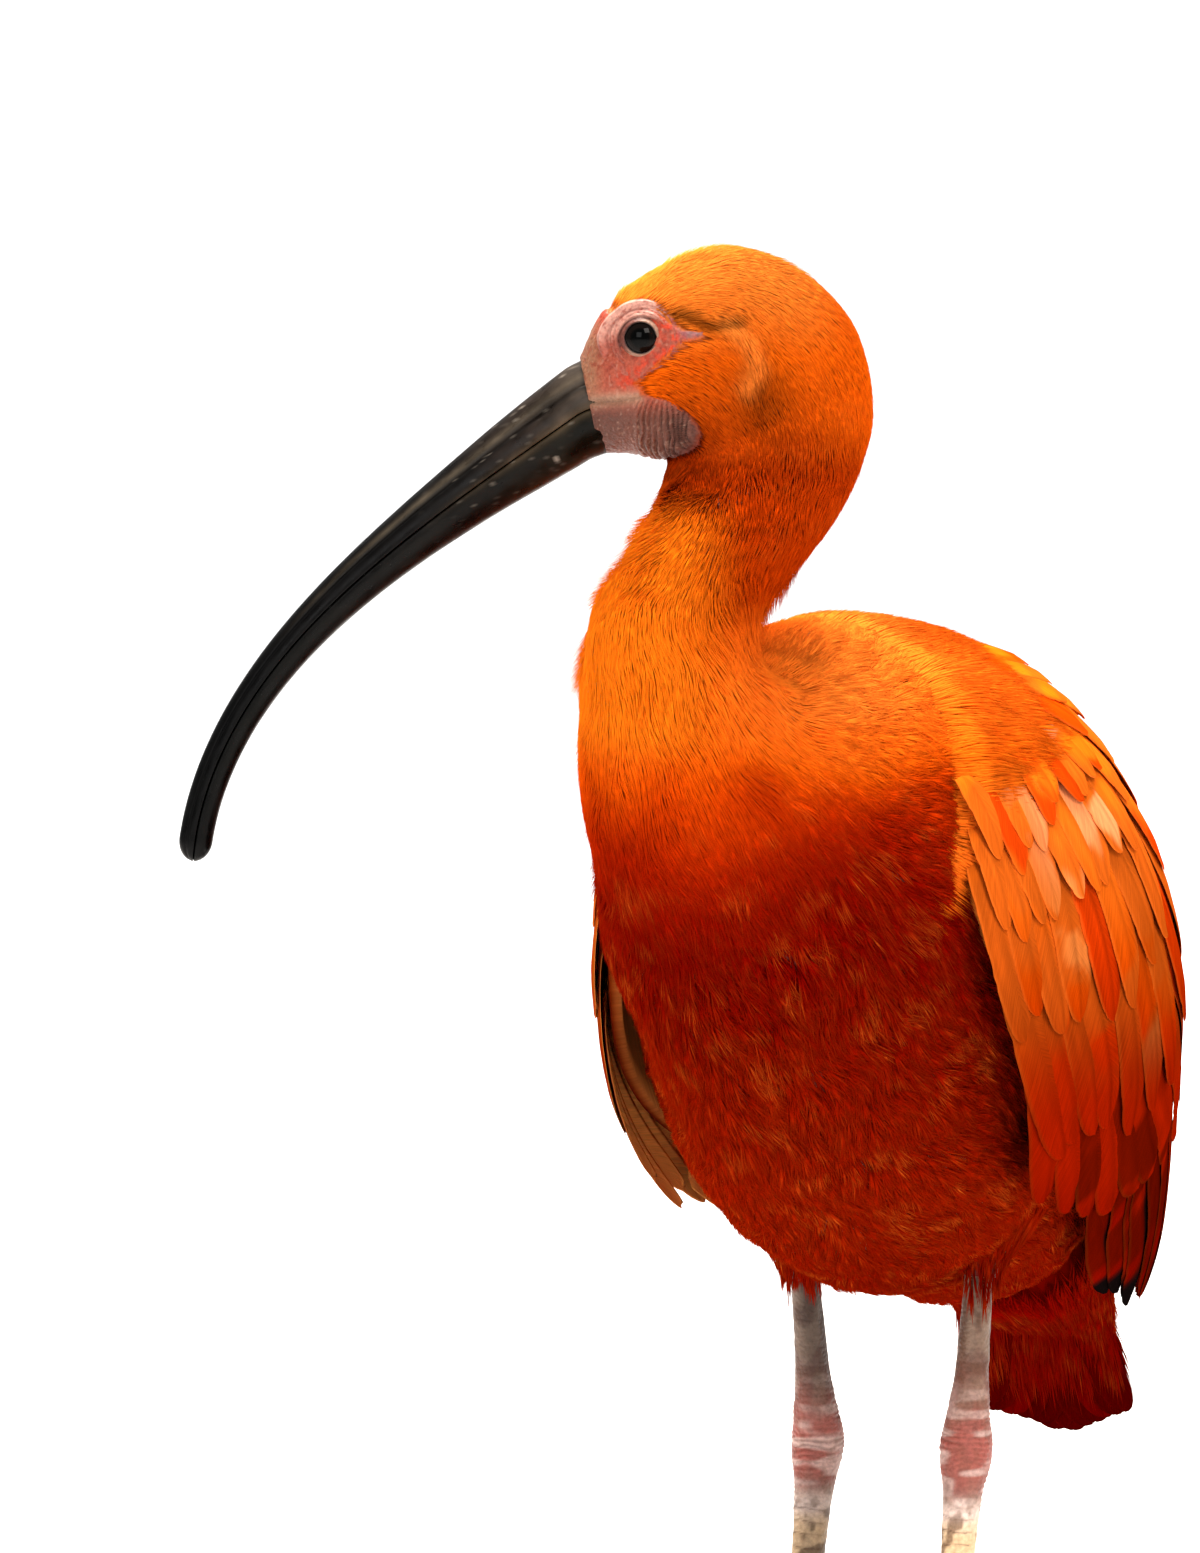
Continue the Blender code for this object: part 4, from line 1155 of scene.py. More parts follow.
def throat_folds(points: Array) -> Array:
    """Metres of the bare throat's wrinkles: ridges 1.25 mm apart, bent by height, faded at the edges."""
    forward, up = on_head(points)
    phase = (forward + 0.035 * (up - 331) ** 2 + 2.2 * noise(points, 0.0040, 41)) / 1.25
    wave = np.abs(np.sin(np.pi * phase)) ** 0.7
    area = ramp(forward, 45.5, 48.5) * (1 - ramp(forward, 57, 60.5))
    area = area * ramp(up, 320, 325) * (1 - ramp(up, 334.5, 336.5))
    pouch = bell(forward - 53, 7) * bell(up - 328, 6)
    height = 0.35 + 1.1 * noise(points, 0.0040, 42)
    return MM * (1.1 * height * (wave - 0.55) * area + 0.5 * pouch)


@dataclass
class Skin:
    """The bird's skin from rump to bill with both thighs, sunk under the feathers, and its bare face."""

    body_rows: int = 110
    head_rows: int = 190
    columns: int = 300
    cheek: str = "9A4834"
    throat: str = "5E362A"
    bill_edge: str = "94684C"
    eye_red: str = "C03210"
    gape: str = "A07E66"
    speck: str = "7E2414"
    fleck: str = "C8A08A"
    # Painted shadow along the bare throat's edge.
    feather_rim: str = "4A1E16"
    ear_strip: str = "6E5A60"

    def depth(self, p: Array, points: Array) -> Array:
        """Metres under the outline: deep on the body, shallow on the neck, none where bare."""
        fall = np.interp(p, [0, BODY.at("breast"), BODY.at("neck_bulge"), 1], [2.3, 2.3, 1.3, 0.7])
        return fall * MM * (1 - bareness(points)) - FLANK_HOLLOW.rise(points) - FLAT_BACK.rise(points)

    def build(self, material: Material) -> Piece:
        """Each point = loft point - normal * depth + normal * (folds and relief), then both thighs as tubes.

        Args:
            material: the bare skin's finish.

        Returns:
            The skin.
        """
        split = BODY.at("neck_high")
        body, head = np.linspace(0.0, split, self.body_rows), np.linspace(split, 1.0, self.head_rows)
        p = np.concatenate([body[:-1], head])
        p, q = np.meshgrid(p, np.arange(self.columns) / self.columns, indexing="ij")
        points = BODY.point(p, q)
        normal = slopes(BODY, p, q)[2]
        bare = bareness(points)
        forward, up = on_head(points)
        mouth = bell(outline_distance(forward, up, MOUTH_LINE, closed=False), 0.45)
        rise = throat_folds(points) * bare + head_relief(points) * (1 - bare) * (p > split)
        rise = rise - self.depth(p, points) - 0.8 * MM * mouth * (up > 316)
        pores = 0.25 * MM * (noise(points, 0.0009, 51) - 0.5) * bare
        points = points + normal * (rise + pores)[..., None]
        # Painted shade: under the feathers the skin takes the plumage colour at 0.6, dark as the shade deep
        # in the coat.
        colour = mix(PLUMAGE.at(points) * 0.6, self.face_colour(points), bare)
        parts = [tube(points)]
        tints = [with_ends(colour)]
        places = [with_ends(stacked(p * 0.8, q))]
        for thigh in THIGHS:
            tp, tq = round_net(30, 36)
            net = thigh.point(tp, tq) - slopes(thigh, tp, tq)[2] * (MM * (2.4 - 0.9 * tp))[..., None]
            parts.append(tube(net))
            # Painted shade: the thighs' skin under their feathers is the plumage colour at 0.45.
            tints.append(with_ends(PLUMAGE.at(net) * 0.45))
            places.append(with_ends(stacked(0.82 + 0.08 * (thigh.side.value + tp), tq)))
        obj = new_object("skin", *merge(parts), material)
        set_attribute(obj, "Tint", np.concatenate(tints))
        set_uv(obj, np.concatenate(places))
        return obj

    def face_colour(self, points: Array) -> Array:
        """Pink round the eye, greyer on the throat, beige at the gape, with red specks and pale flecks,
        painted shade and light on the throat's folds and a painted shadow along the bare skin's lower edge.
        """
        forward, up = on_head(points)
        inside = -outline_distance(forward, up, FACE_OUTLINE)
        colour = mix(self.cheek, self.throat, 1 - ramp(up, 331, 338))
        colour = mix(colour, self.bill_edge, 0.8 * ramp(forward, 65.5, 69.5) * ramp(up, 332, 340))
        near = (1 - ramp(inside, 0.4, 5.0)) * ramp(up, 336, 340) * (1 - ramp(forward, 66, 70))
        colour = mix(colour, self.eye_red, 0.9 * near * ramp(noise(points, 0.0009, 63), 0.35, 0.6))
        gape = bell(outline_distance(forward, up, GAPE_LINE, closed=False), 1.5)
        colour = mix(colour, self.gape, 0.8 * gape)
        specks = ramp(noise(points, 0.0006, 61), 0.52, 0.80) * ramp(up, 337, 343)
        colour = mix(colour, self.speck, 0.6 * specks)
        flecks = ramp(noise(points, 0.0006, 62), 0.72, 0.92)
        colour = mix(colour, self.fleck, 0.25 * flecks)
        # Painted shade and light: the throat's wrinkles are darkened in their grooves and lightened on their
        # ridges.
        folds = ramp(throat_folds(points) / MM, -0.35, 0.25)
        colour = colour * (0.32 + 0.85 * np.where(up < 336.5, folds, 0.8))[..., None]
        # Painted shade: a dark band just inside the lower edge of the bare skin, a painted shadow of the
        # feathers' edge.
        rim = bell(inside - 0.3, 0.7) * (1 - ramp(up, 332, 336))
        colour = mix(colour, self.feather_rim, 0.6 * rim)
        strip = bell(up - 350.6, 1.2) * (1 - ramp(forward, 48.5, 51))
        return mix(colour, self.ear_strip, 0.7 * strip)


class TubeSurface:
    """A round limb along a path of points. A place is (p, q): 0 to 1 down it and turns round."""

    def __init__(self, side: Side, path: Array, radii: Sequence[float]) -> None:
        """Keeps the path with its radii, keyed by its run."""
        self.side = side
        self.table = np.column_stack([path, radii])
        run = np.concatenate([[0], np.cumsum(np.linalg.norm(np.diff(path, axis=0), axis=1))])
        self.keys, self.length = run / run[-1], run[-1]

    def point(self, p: Array, q: Array) -> Array:
        """Centre + radius (cos * front + sin * side), square to the path and straight on past its end."""
        p = np.asarray(p, float)
        value = hermite(self.keys, self.table, np.minimum(p, 1))
        e = 0.01
        inside = np.minimum(p, 1 - e)
        before, after = [hermite(self.keys, self.table, inside + step)[..., :3] for step in (-e, e)]
        along = unit(after - before)
        value[..., :3] += along * (self.length * np.maximum(p - 1, 0))[..., None]
        front = unit(np.cross(along, np.array([1.0, 0, 0])))
        side = np.cross(along, front)
        angle = 2 * np.pi * np.asarray(q, float)[..., None]
        return value[..., :3] + value[..., 3:4] * (np.cos(angle) * front + np.sin(angle) * side)


@dataclass(frozen=True)
class LegPlaces:
    """The points of one leg from the thigh down, in metres."""

    side: Side
    thigh: Point
    feather_edge: Point
    ankle: Point
    shin: Point
    foot: Point

    def thigh_surface(self) -> TubeSurface:
        """The feathered thigh as a tapering tube."""
        thigh, edge, ankle = np.array(self.thigh), np.array(self.feather_edge), np.array(self.ankle)
        down = unit(ankle - edge)
        path = np.vstack([thigh + (edge - 0.005 * down - thigh) * np.linspace(0, 1, 6)[:, None], edge])
        return TubeSurface(self.side, path, (0.0150, 0.0150, 0.0140, 0.0120, 0.0095, 0.0072, 0.0054))


LEG_PLACES = (
    LegPlaces(
        Side.RIGHT, (-0.021, -0.008, 0.158), (-0.0186, -0.0068, 0.1320), (-0.019, 0.004, 0.092),
        (-0.019, -0.003, 0.067), (-0.0195, -0.021, 0.0105),
    ),
    LegPlaces(
        Side.LEFT, (0.023, 0.006, 0.158), (0.0194, 0.006, 0.1315), (0.018, 0.001, 0.092),
        (0.018, -0.005, 0.069), (0.018, -0.021, 0.0105),
    ),
)
THIGHS = tuple(places.thigh_surface() for places in LEG_PLACES)


# The coat

# How far down the back the mantle reaches, by degrees from the spine
REACH_DEGREES = (0, 10, 14, 28, 45, 62, 76, 90, 108, 126)
REACH = (0.86, 0.84, 0.74, 0.42, 0.25, 0.13, 0.06, 0.0, -0.05, -0.05)
ROUND = (-0.5, 0.5)
# Triangles in one barb, and the most that a piece of loose feathers may have
BARB_TRIANGLES, PIECE_LIMIT = 6, 190000


@dataclass
class BodyCoat:
    """The feathers of the body: short and hair-like on head and neck, fanned on breast, belly and thighs."""

    head: Growth = Growth(0.58, 0.48, 5.0, 0.25, 1, 0.30, 0.9, 0.05, 0.10, 0.8)
    neck: Growth = Growth(0.72, 0.58, 8.0, 0.35, 1, 0.32, 1.2, 0.10, 0.15, 2.2)
    breast: Growth = Growth(2.6, 2.5, 14.0, 3.2, 21, 0.32, 2.3, 0.3, 0.22, 0.6)
    belly: Growth = Growth(2.9, 2.8, 16.0, 3.6, 19, 0.32, 2.3, 0.7, 0.25, 1.0)
    mantle: Growth = Growth(0.9, 0.75, 13.0, 0.4, 1, 0.52, 2.5, 0.15, 0.05)
    thigh: Growth = Growth(2.4, 2.4, 12.0, 2.8, 13, 0.34, 1.6, 0.4, 0.25)

    def lie(self, points: Array, normal: Array, down: Array, sweep: float) -> Array:
        """The way feathers point: down the body, turned by two slow noises of 7 and 22 mm."""
        turn = sweep * (noise(points, 0.007, 71) - 0.5) + 0.5 * sweep * (noise(points, 0.022, 72) - 0.5)
        return down * np.cos(turn)[..., None] + np.cross(normal, down) * np.sin(turn)[..., None]

    def head_lie(self, points: Array, way: Array) -> Array:
        """Behind the ear's ridge the feathers turn down, by the distance past it."""
        forward, up = on_head(points)
        turn = bell(outline_distance(forward, up, EAR_RIDGE, closed=False), 4.0) * ramp(up, 334, 340)
        return unit(way + (0.9 * turn)[..., None] * -UP)

    def shade(self, fan: dict[str, Array], growth: Growth, rng: Random, folded: bool) -> Array:
        """Colour of each row: the height's colour, darker at the root as painted shade deep in the coat, and
        paler at the tips, partly pale fringes and partly painted light, by feather.
        """
        points, along = fan["paths"], fan["along"]
        colour = PLUMAGE.at(points, fan["normals"][..., 2])
        if folded:
            colour = mix(colour, PLUMAGE.wing_at(points), 1 - ramp(points[..., 2] / MM, 250, 268))
        feathers = int(fan["feather"].max()) + 1
        each = rng.normal(1.0, 0.04, feathers)[fan["feather"]][:, None]
        barb = rng.uniform(0.95, 1.05, (len(points), 1))
        # Painted shade: each barb darkens toward its root, deep in the coat.
        tone = np.interp(along, [0, 0.3, 0.7, 1.1], [0.82, 0.95, 1.0, 1.03]) * each * barb
        # Paler tips in noise patches: partly the feathers' pale fringes, partly painted light on the tips.
        worn = 0.3 + 1.3 * ramp(noise(points * (1, 1, 1.6), 0.007, 73), 0.60, 0.80)
        tip = ramp(along, 0.72, 1.05) * growth.fray * worn * rng.uniform(0, 1.3, (len(points), 1))
        return mix(colour * tone[..., None], PLUMAGE.pale_fringe_and_light, tip)

    def grow(
        self, name: str, surface: object, roots: Follicles, growth: Growth, material: Material, rng: Random,
        bake: Range = (1.0, 1.0),
    ) -> list[Piece]:
        """Fans at the roots, as one piece or as many as keep each under the limit of triangles.

        Args:
            name: the piece's name, numbered where there are more.
            surface: what the feathers grow on.
            roots: their roots and ways.
            growth: their sizes.
            material: the barbs' finish.
            rng: the random source.
            bake: sizes of the root places on the bake map.

        Returns:
            The pieces.
        """
        pieces = math.ceil(len(roots.p) * growth.barbs * BARB_TRIANGLES / PIECE_LIMIT)
        order = np.argsort(roots.p, kind="stable")
        made = []
        for number, part in enumerate(np.array_split(order, max(pieces, 1))):
            fan = fans(surface, roots.keep(part), growth, rng)
            on_neck = (surface is BODY) * (fan["root"][:, :1] > 0.6)
            relief = soft_relief(fan["paths"]) + head_relief(fan["paths"]) * on_neck
            if surface is WING_LOFT:
                relief = relief - 4.0 * MM * (1 - ramp(fan["root"][:, :1], -0.045, 0.05))
            fan["paths"] += fan["normals"] * relief[..., None]
            colours = self.shade(fan, growth, rng, surface is WING_LOFT)
            label = name if pieces < 2 else f"{name}_{number + 1}"
            made.append(coat_object(label, fan, colours, material, bake))
        return made

    def rooted(
        self, surface: object, p_range: Range, q_range: Range, growth: Growth, rng: Random, sweep: float,
        forward: bool = False,
    ) -> tuple[Follicles, Array]:
        """Roots with their lie down the bird.

        Args:
            surface: what the feathers grow on.
            p_range: places along.
            q_range: places across.
            growth: their spacing.
            rng: the random source.
            sweep: radians of slow turning.
            forward: whether p rises toward the head.

        Returns:
            The roots and where they are.
        """
        roots = scatter(surface, p_range, q_range, growth, rng)
        points = surface.point(roots.p, roots.q)
        normal = slopes(surface, roots.p, roots.q)[2]
        down = -roots.way if forward else roots.way
        roots.way = self.lie(points, normal, down, sweep)
        return roots, points

    def build(self, material: Material) -> list[Piece]:
        """All the body's feathers, area by area from the head down.

        Args:
            material: the barbs' finish.

        Returns:
            The pieces.
        """
        rng = np.random.default_rng(11)
        made = []
        roots, points = self.rooted(BODY, (BODY.at("nape"), 0.995), ROUND, self.head, rng, 0.30, True)
        roots.way = self.head_lie(points, roots.way)
        keep = bareness(points) < rng.uniform(0.2, 0.95, len(points))
        made += self.grow("coat_head", BODY, roots.keep(keep), self.head, material, rng)

        span = BODY.at("neck_root"), BODY.at("nape_high")
        roots, _ = self.rooted(BODY, span, ROUND, self.neck, rng, 0.5, True)
        made += self.grow("coat_neck", BODY, roots, self.neck, material, rng)

        for name, growth, low, high in (
            ("coat_breast", self.breast, BODY.at("loin"), BODY.at("crop")),
            ("coat_belly", self.belly, 0.01, BODY.at("loin")),
        ):
            roots, points = self.rooted(BODY, (low, high), ROUND, growth, rng, 0.9, True)
            roots = roots.keep(self.uncovered(points, roots.q))
            made += self.grow(name, BODY, roots, growth, material, rng)

        roots, _ = self.rooted(WING_LOFT, (-0.045, 0.88), (-0.35, 0.35), self.mantle, rng, 0.5)
        reach = np.interp(np.abs(roots.q) * 360, REACH_DEGREES, REACH)
        made += self.grow("coat_mantle", WING_LOFT, roots.keep(roots.p < reach), self.mantle, material, rng)
        for thigh in THIGHS:
            roots, _ = self.rooted(thigh, (0.02, 0.74), (0, 1), self.thigh, rng, 0.7)
            made += self.grow(f"coat_thigh_{thigh.side.word}", thigh, roots, self.thigh, material, rng)
        return made

    @staticmethod
    def uncovered(points: Array, q: Array) -> Array:
        """Whether a body place is clear of the folded wings: ahead of them or under their low edge."""
        place = np.interp(points[:, 1], WING_LOFT.values[:, 1], WING_LOFT.keys)
        low = np.interp(place, WingSurface.places, WingSurface.low)
        return (points[:, 1] < -0.066) | (np.abs(q) * 360 > low - 34)


def soft_relief(points: Array) -> Array:
    """Metres of the soft swells where body feathers overlap: noise at 18 and 7 mm, fading out on the neck."""
    swell = 2.0 * (noise(points, 0.018, 75) - 0.5) + 0.6 * (noise(points, 0.007, 76) - 0.5)
    swell = MM * swell * (1 - ramp(points[..., 2] / MM, 270, 300))
    return swell + FLANK_HOLLOW.rise(points) + FLAT_BACK.rise(points)


# Wings and tail


def feather_colour(blades: Vanes, tier: Tier, rng: Random) -> Array:
    """Colour of flat feathers: the height's colour, pale blotches on some, paler edges, a dark shaft, with
    painted shade toward the wing's low edge.

    Args:
        blades: the feathers.
        tier: which tier, with its share of pale feathers.
        rng: the random source.

    Returns:
        Linear colours of the outer points.
    """
    n = blades.count
    points = blades.outer
    z = points[..., 2] / MM
    colour = PLUMAGE.wing_at(points)
    # Painted shade: this factor darkens the blotch, tan, pale and edge colours toward the wing's low edge.
    light = (0.10 + 0.90 * ramp(z, 165, 226))[..., None]
    kind = rng.uniform(0, 1, (n, 1, 1))
    at = np.stack([blades.s * blades.length / MM, blades.w * 5.0, blades.index * 31.0 + tier.count], -1)
    field = noise(at, 11.0, 81) + 0.22 * (noise(at, 4.0, 82) - 0.5)
    colour = mix(colour, linear(PLUMAGE.blood) * light, 0.75 * (kind > tier.pale) * ramp(field, 0.30, 0.5))
    high = ramp(z, 172, 205)
    worn = 0.7 * high * (kind < tier.pale) * ramp(field, 0.36, 0.5)
    colour = mix(colour, linear(PLUMAGE.tan) * light, worn)
    pale = mix(linear(PLUMAGE.sand) * light, linear(PLUMAGE.peach) * light, ramp(z, 222, 240))
    behind = ramp(points[..., 1], -0.062, -0.040)
    colour = mix(colour, pale, 0.75 * high * behind * (kind < 0.3 * tier.pale) * ramp(field, 0.56, 0.66))
    streak = noise(at * (0.08, 1, 1), 0.9, 83)[..., None]
    # Paler blade edges: partly the feathers' pale margins, partly painted light that eases the shade between
    # the blades.
    edge = ramp(np.abs(blades.w), 0.80, 1.0) * 0.30
    colour = mix(colour, linear(PLUMAGE.pale_fringe_and_light) * light, edge)
    # Painted shade: the colour darkens toward the wing's low edge (low); each feather is also darker toward
    # its root.
    tone = rng.normal(1.0, 0.05, (n, 1, 1, 1)) * (0.8 + 0.2 * ramp(blades.s, 0.0, 0.5))[..., None]
    low = 0.84 + 0.16 * ramp(z, 205, 250)[..., None]
    return colour * low * tone * (0.82 + 0.36 * streak) * (1 - 0.2 * bell(blades.w, 0.05))[..., None]


@dataclass
class Wing:
    """One folded wing: a bed of feather bases and its tiers, each laid over the one before."""

    side: Side
    tiers: tuple[Tier, ...] = (
        Tier(
            "primaries", 11, ((0.40, 1.00), (0.48, 0.86), (0.60, 0.62), (0.66, 0.40)),
            ((0.80, 1.17), (0.90, 1.00), (0.96, 0.70), (0.92, 0.30)), (0.0060, 0.0076), -3.0, (-4.5, -1.8),
            tip_roundness=0.30, stack=0.09,
        ),
        Tier(
            "secondaries", 12, ((0.15, 0.92), (0.23, 0.82), (0.32, 0.66), (0.46, 0.20)),
            ((0.29, 1.10), (0.47, 0.98), (0.66, 0.74), (0.87, 0.22)), (0.0078, 0.0084), -2.6, (-0.8, -0.3),
            pale=0.25, tip_roundness=0.36,
        ),
        Tier(
            "tertials", 4, ((0.46, 0.24), (0.48, 0.13)), ((0.84, 0.25), (0.91, 0.06)),
            (0.0090, 0.0090), -2.6, (0.1, 0.3), pale=0.1, tip_roundness=0.36, stack=0.04,
        ),
        Tier(
            "greater_coverts", 11, ((0.11, 0.90), (0.21, 0.70), (0.32, 0.52), (0.38, 0.18)),
            ((0.25, 1.04), (0.33, 0.92), (0.48, 0.70), (0.64, 0.21)), (0.0080, 0.0084), -2.6, (-0.1, 0.2),
            pale=0.82, tip_roundness=0.42,
        ),
        Tier(
            "median_coverts", 11, ((0.06, 0.84), (0.17, 0.62), (0.28, 0.46), (0.32, 0.16)),
            ((0.14, 0.98), (0.23, 0.83), (0.37, 0.62), (0.51, 0.19)), (0.0070, 0.0076), -2.6, (0.2, 0.5),
            pale=0.90, tip_roundness=0.46,
        ),
        Tier(
            "lesser_coverts", 13, ((0.04, 0.74), (0.15, 0.53), (0.25, 0.38), (0.26, 0.14)),
            ((0.10, 0.90), (0.19, 0.69), (0.31, 0.51), (0.41, 0.16)), (0.0056, 0.0062), -2.6, (0.5, 0.7),
            pale=0.85, tip_roundness=0.50,
        ),
        Tier(
            "shoulder_coverts", 14, ((0.03, 0.60), (0.14, 0.42), (0.22, 0.30), (0.20, 0.12)),
            ((0.08, 0.76), (0.17, 0.57), (0.27, 0.42), (0.33, 0.13)), (0.0050, 0.0056), -2.6, (0.6, 0.8),
            pale=0.45, tip_roundness=0.50,
        ),
        Tier(
            "scapulars", 4, ((0.14, 0.17), (0.28, 0.12)), ((0.42, 0.12), (0.56, 0.05)),
            (0.0082, 0.0080), -2.6, (0.2, 0.4), tip_roundness=0.45, stack=0.04,
        ),
    )
    bed_lift: float = -3.4
    bed_rows: int = 30
    bed_columns: int = 22
    # How far the right wing's under sides are painted toward the glow of light through the blades.
    glow: float = 0.9

    def build(self, material: Material) -> list[Piece]:
        """The bed and the tiers.

        Args:
            material: the blades' finish.

        Returns:
            The pieces, the bed first.
        """
        surface = WingSurface(self.side)
        rng = np.random.default_rng(23 if self.side is Side.LEFT else 29)
        made = [self.bed(surface, material)]
        for tier in self.tiers:
            blades = vanes(surface, tier, rng)
            colour = feather_colour(blades, tier, rng)
            if tier.name == "primaries":
                web = ramp(blades.w, 0.0, 0.25) * ramp(blades.s, 0.30, 0.45) * (self.side is Side.LEFT)
                dark = np.maximum(ramp(blades.s, 0.78, 0.84), web) * (blades.index < 4)
                colour = mix(colour, PLUMAGE.black, dark)
            # Painted glow on the right wing's under sides.
            painted_glow = self.glow if self.side is Side.RIGHT else 0.0
            made.append(vane_object(f"{tier.name}_{self.side.word}", blades, colour, material, painted_glow))
        return made

    def bed(self, surface: WingSurface, material: Material) -> Piece:
        """A closed plate under the feathers, darkened as painted shade: outer and inner grids at two depths,
        thin at its back end.
        """
        shape = (1, self.bed_rows, self.bed_columns)
        p, q = np.meshgrid(*[np.linspace(0, 1, n) for n in shape[1:]], indexing="ij")
        p = 0.02 + p * (0.82 - 0.22 * q)
        q = 0.92 * q
        points, up = surface.point(p, q), slopes(surface, p, q)[2]
        thick = np.interp(p, [0, 0.45, 0.8], [3.0, 2.4, 0.5]) * MM
        outer = points + up * self.bed_lift * MM
        inner = points + up * (self.bed_lift * MM - thick)[..., None]
        p, q = np.broadcast_to(p, shape), np.broadcast_to(q, shape)
        blades = Vanes(outer[None], inner[None], p, 2 * q - 1, np.full(shape, 0.15), np.zeros(shape, int))
        # Painted shade: the bed is the wing's colour at 0.6, dark as the shade under the feathers; its under
        # side gets a painted glow.
        colour = PLUMAGE.wing_at(blades.outer) * 0.6
        return vane_object(f"wing_bed_{self.side.word}", blades, colour, material, 0.4)


@dataclass
class Tail:
    """The tail: twelve feathers fanned from a short core, with coverts under and over their roots."""

    quills: int = 12
    # Deep red multiplier on the fan: partly the tail's own deep red, partly painted shade on its shaded under
    # side.
    tone: Point = (0.75, 0.1, 0.4)
    core_depth: float = 1.4
    tufts: Growth = Growth(2.6, 2.5, 15.0, 3.2, 15, 0.34, 1.4, 0.6, 0.2)
    coverts: Growth = Growth(2.4, 2.2, 25.0, 2.6, 15, 0.32, 0.2, 2.2, 0.1)

    def build(self, material: Material, barbs: Material, coat: BodyCoat) -> list[Piece]:
        """The core, the fan and the coverts.

        Args:
            material: the blades' finish.
            barbs: the barbs' finish.
            coat: grows the coverts' loose barbs.

        Returns:
            The pieces.
        """
        surface = TailSurface()
        rng = np.random.default_rng(31)
        made = []
        for half, sign in (("right", -1), ("left", 1)):
            tier = Tier(
                f"tail_{half}", self.quills // 2, ((0.014, 0.0085 * sign), (0.014, 0.0008 * sign)),
                ((0.0590, 0.0185 * sign), (0.0710, 0.0019 * sign)), (0.0056, 0.0062), 0.2, (-1.8, 1.2),
                tip_roundness=0.20, jitter=0.0006, stack=0.0,
            )
            blades = vanes(surface, tier, rng)
            colour = feather_colour(blades, tier, rng) * self.tone
            made.append(vane_object(tier.name, blades, colour, material))
        p, q = round_net(24, 48)
        points = TAIL_CORE.point(p, q)
        points = points - slopes(TAIL_CORE, p, q)[2] * self.core_depth * MM
        obj = new_object("tail_core", *tube(points), barbs)
        # Painted shade: the core under the coverts is the plumage colour at half strength.
        set_attribute(obj, "Tint", with_ends(PLUMAGE.at(points) * 0.5))
        set_uv(obj, with_ends(stacked(p, q)))
        made.append(obj)
        roots, _ = coat.rooted(TAIL_CORE, (0.0, 0.75), (0, 1), self.tufts, rng, 0.4)
        made += coat.grow("tail_coverts", TAIL_CORE, roots, self.tufts, barbs, rng)
        for name, under in (("tail_coverts_over", False), ("tail_coverts_under", True)):
            surface = TailSurface(under)
            roots, _ = coat.rooted(surface, (-0.006, 0.034), (-0.019, 0.019), self.coverts, rng, 0.25)
            made += coat.grow(name, surface, roots, self.coverts, barbs, rng, (0.05, 0.05))
        return made


# Bill, eyes and lids


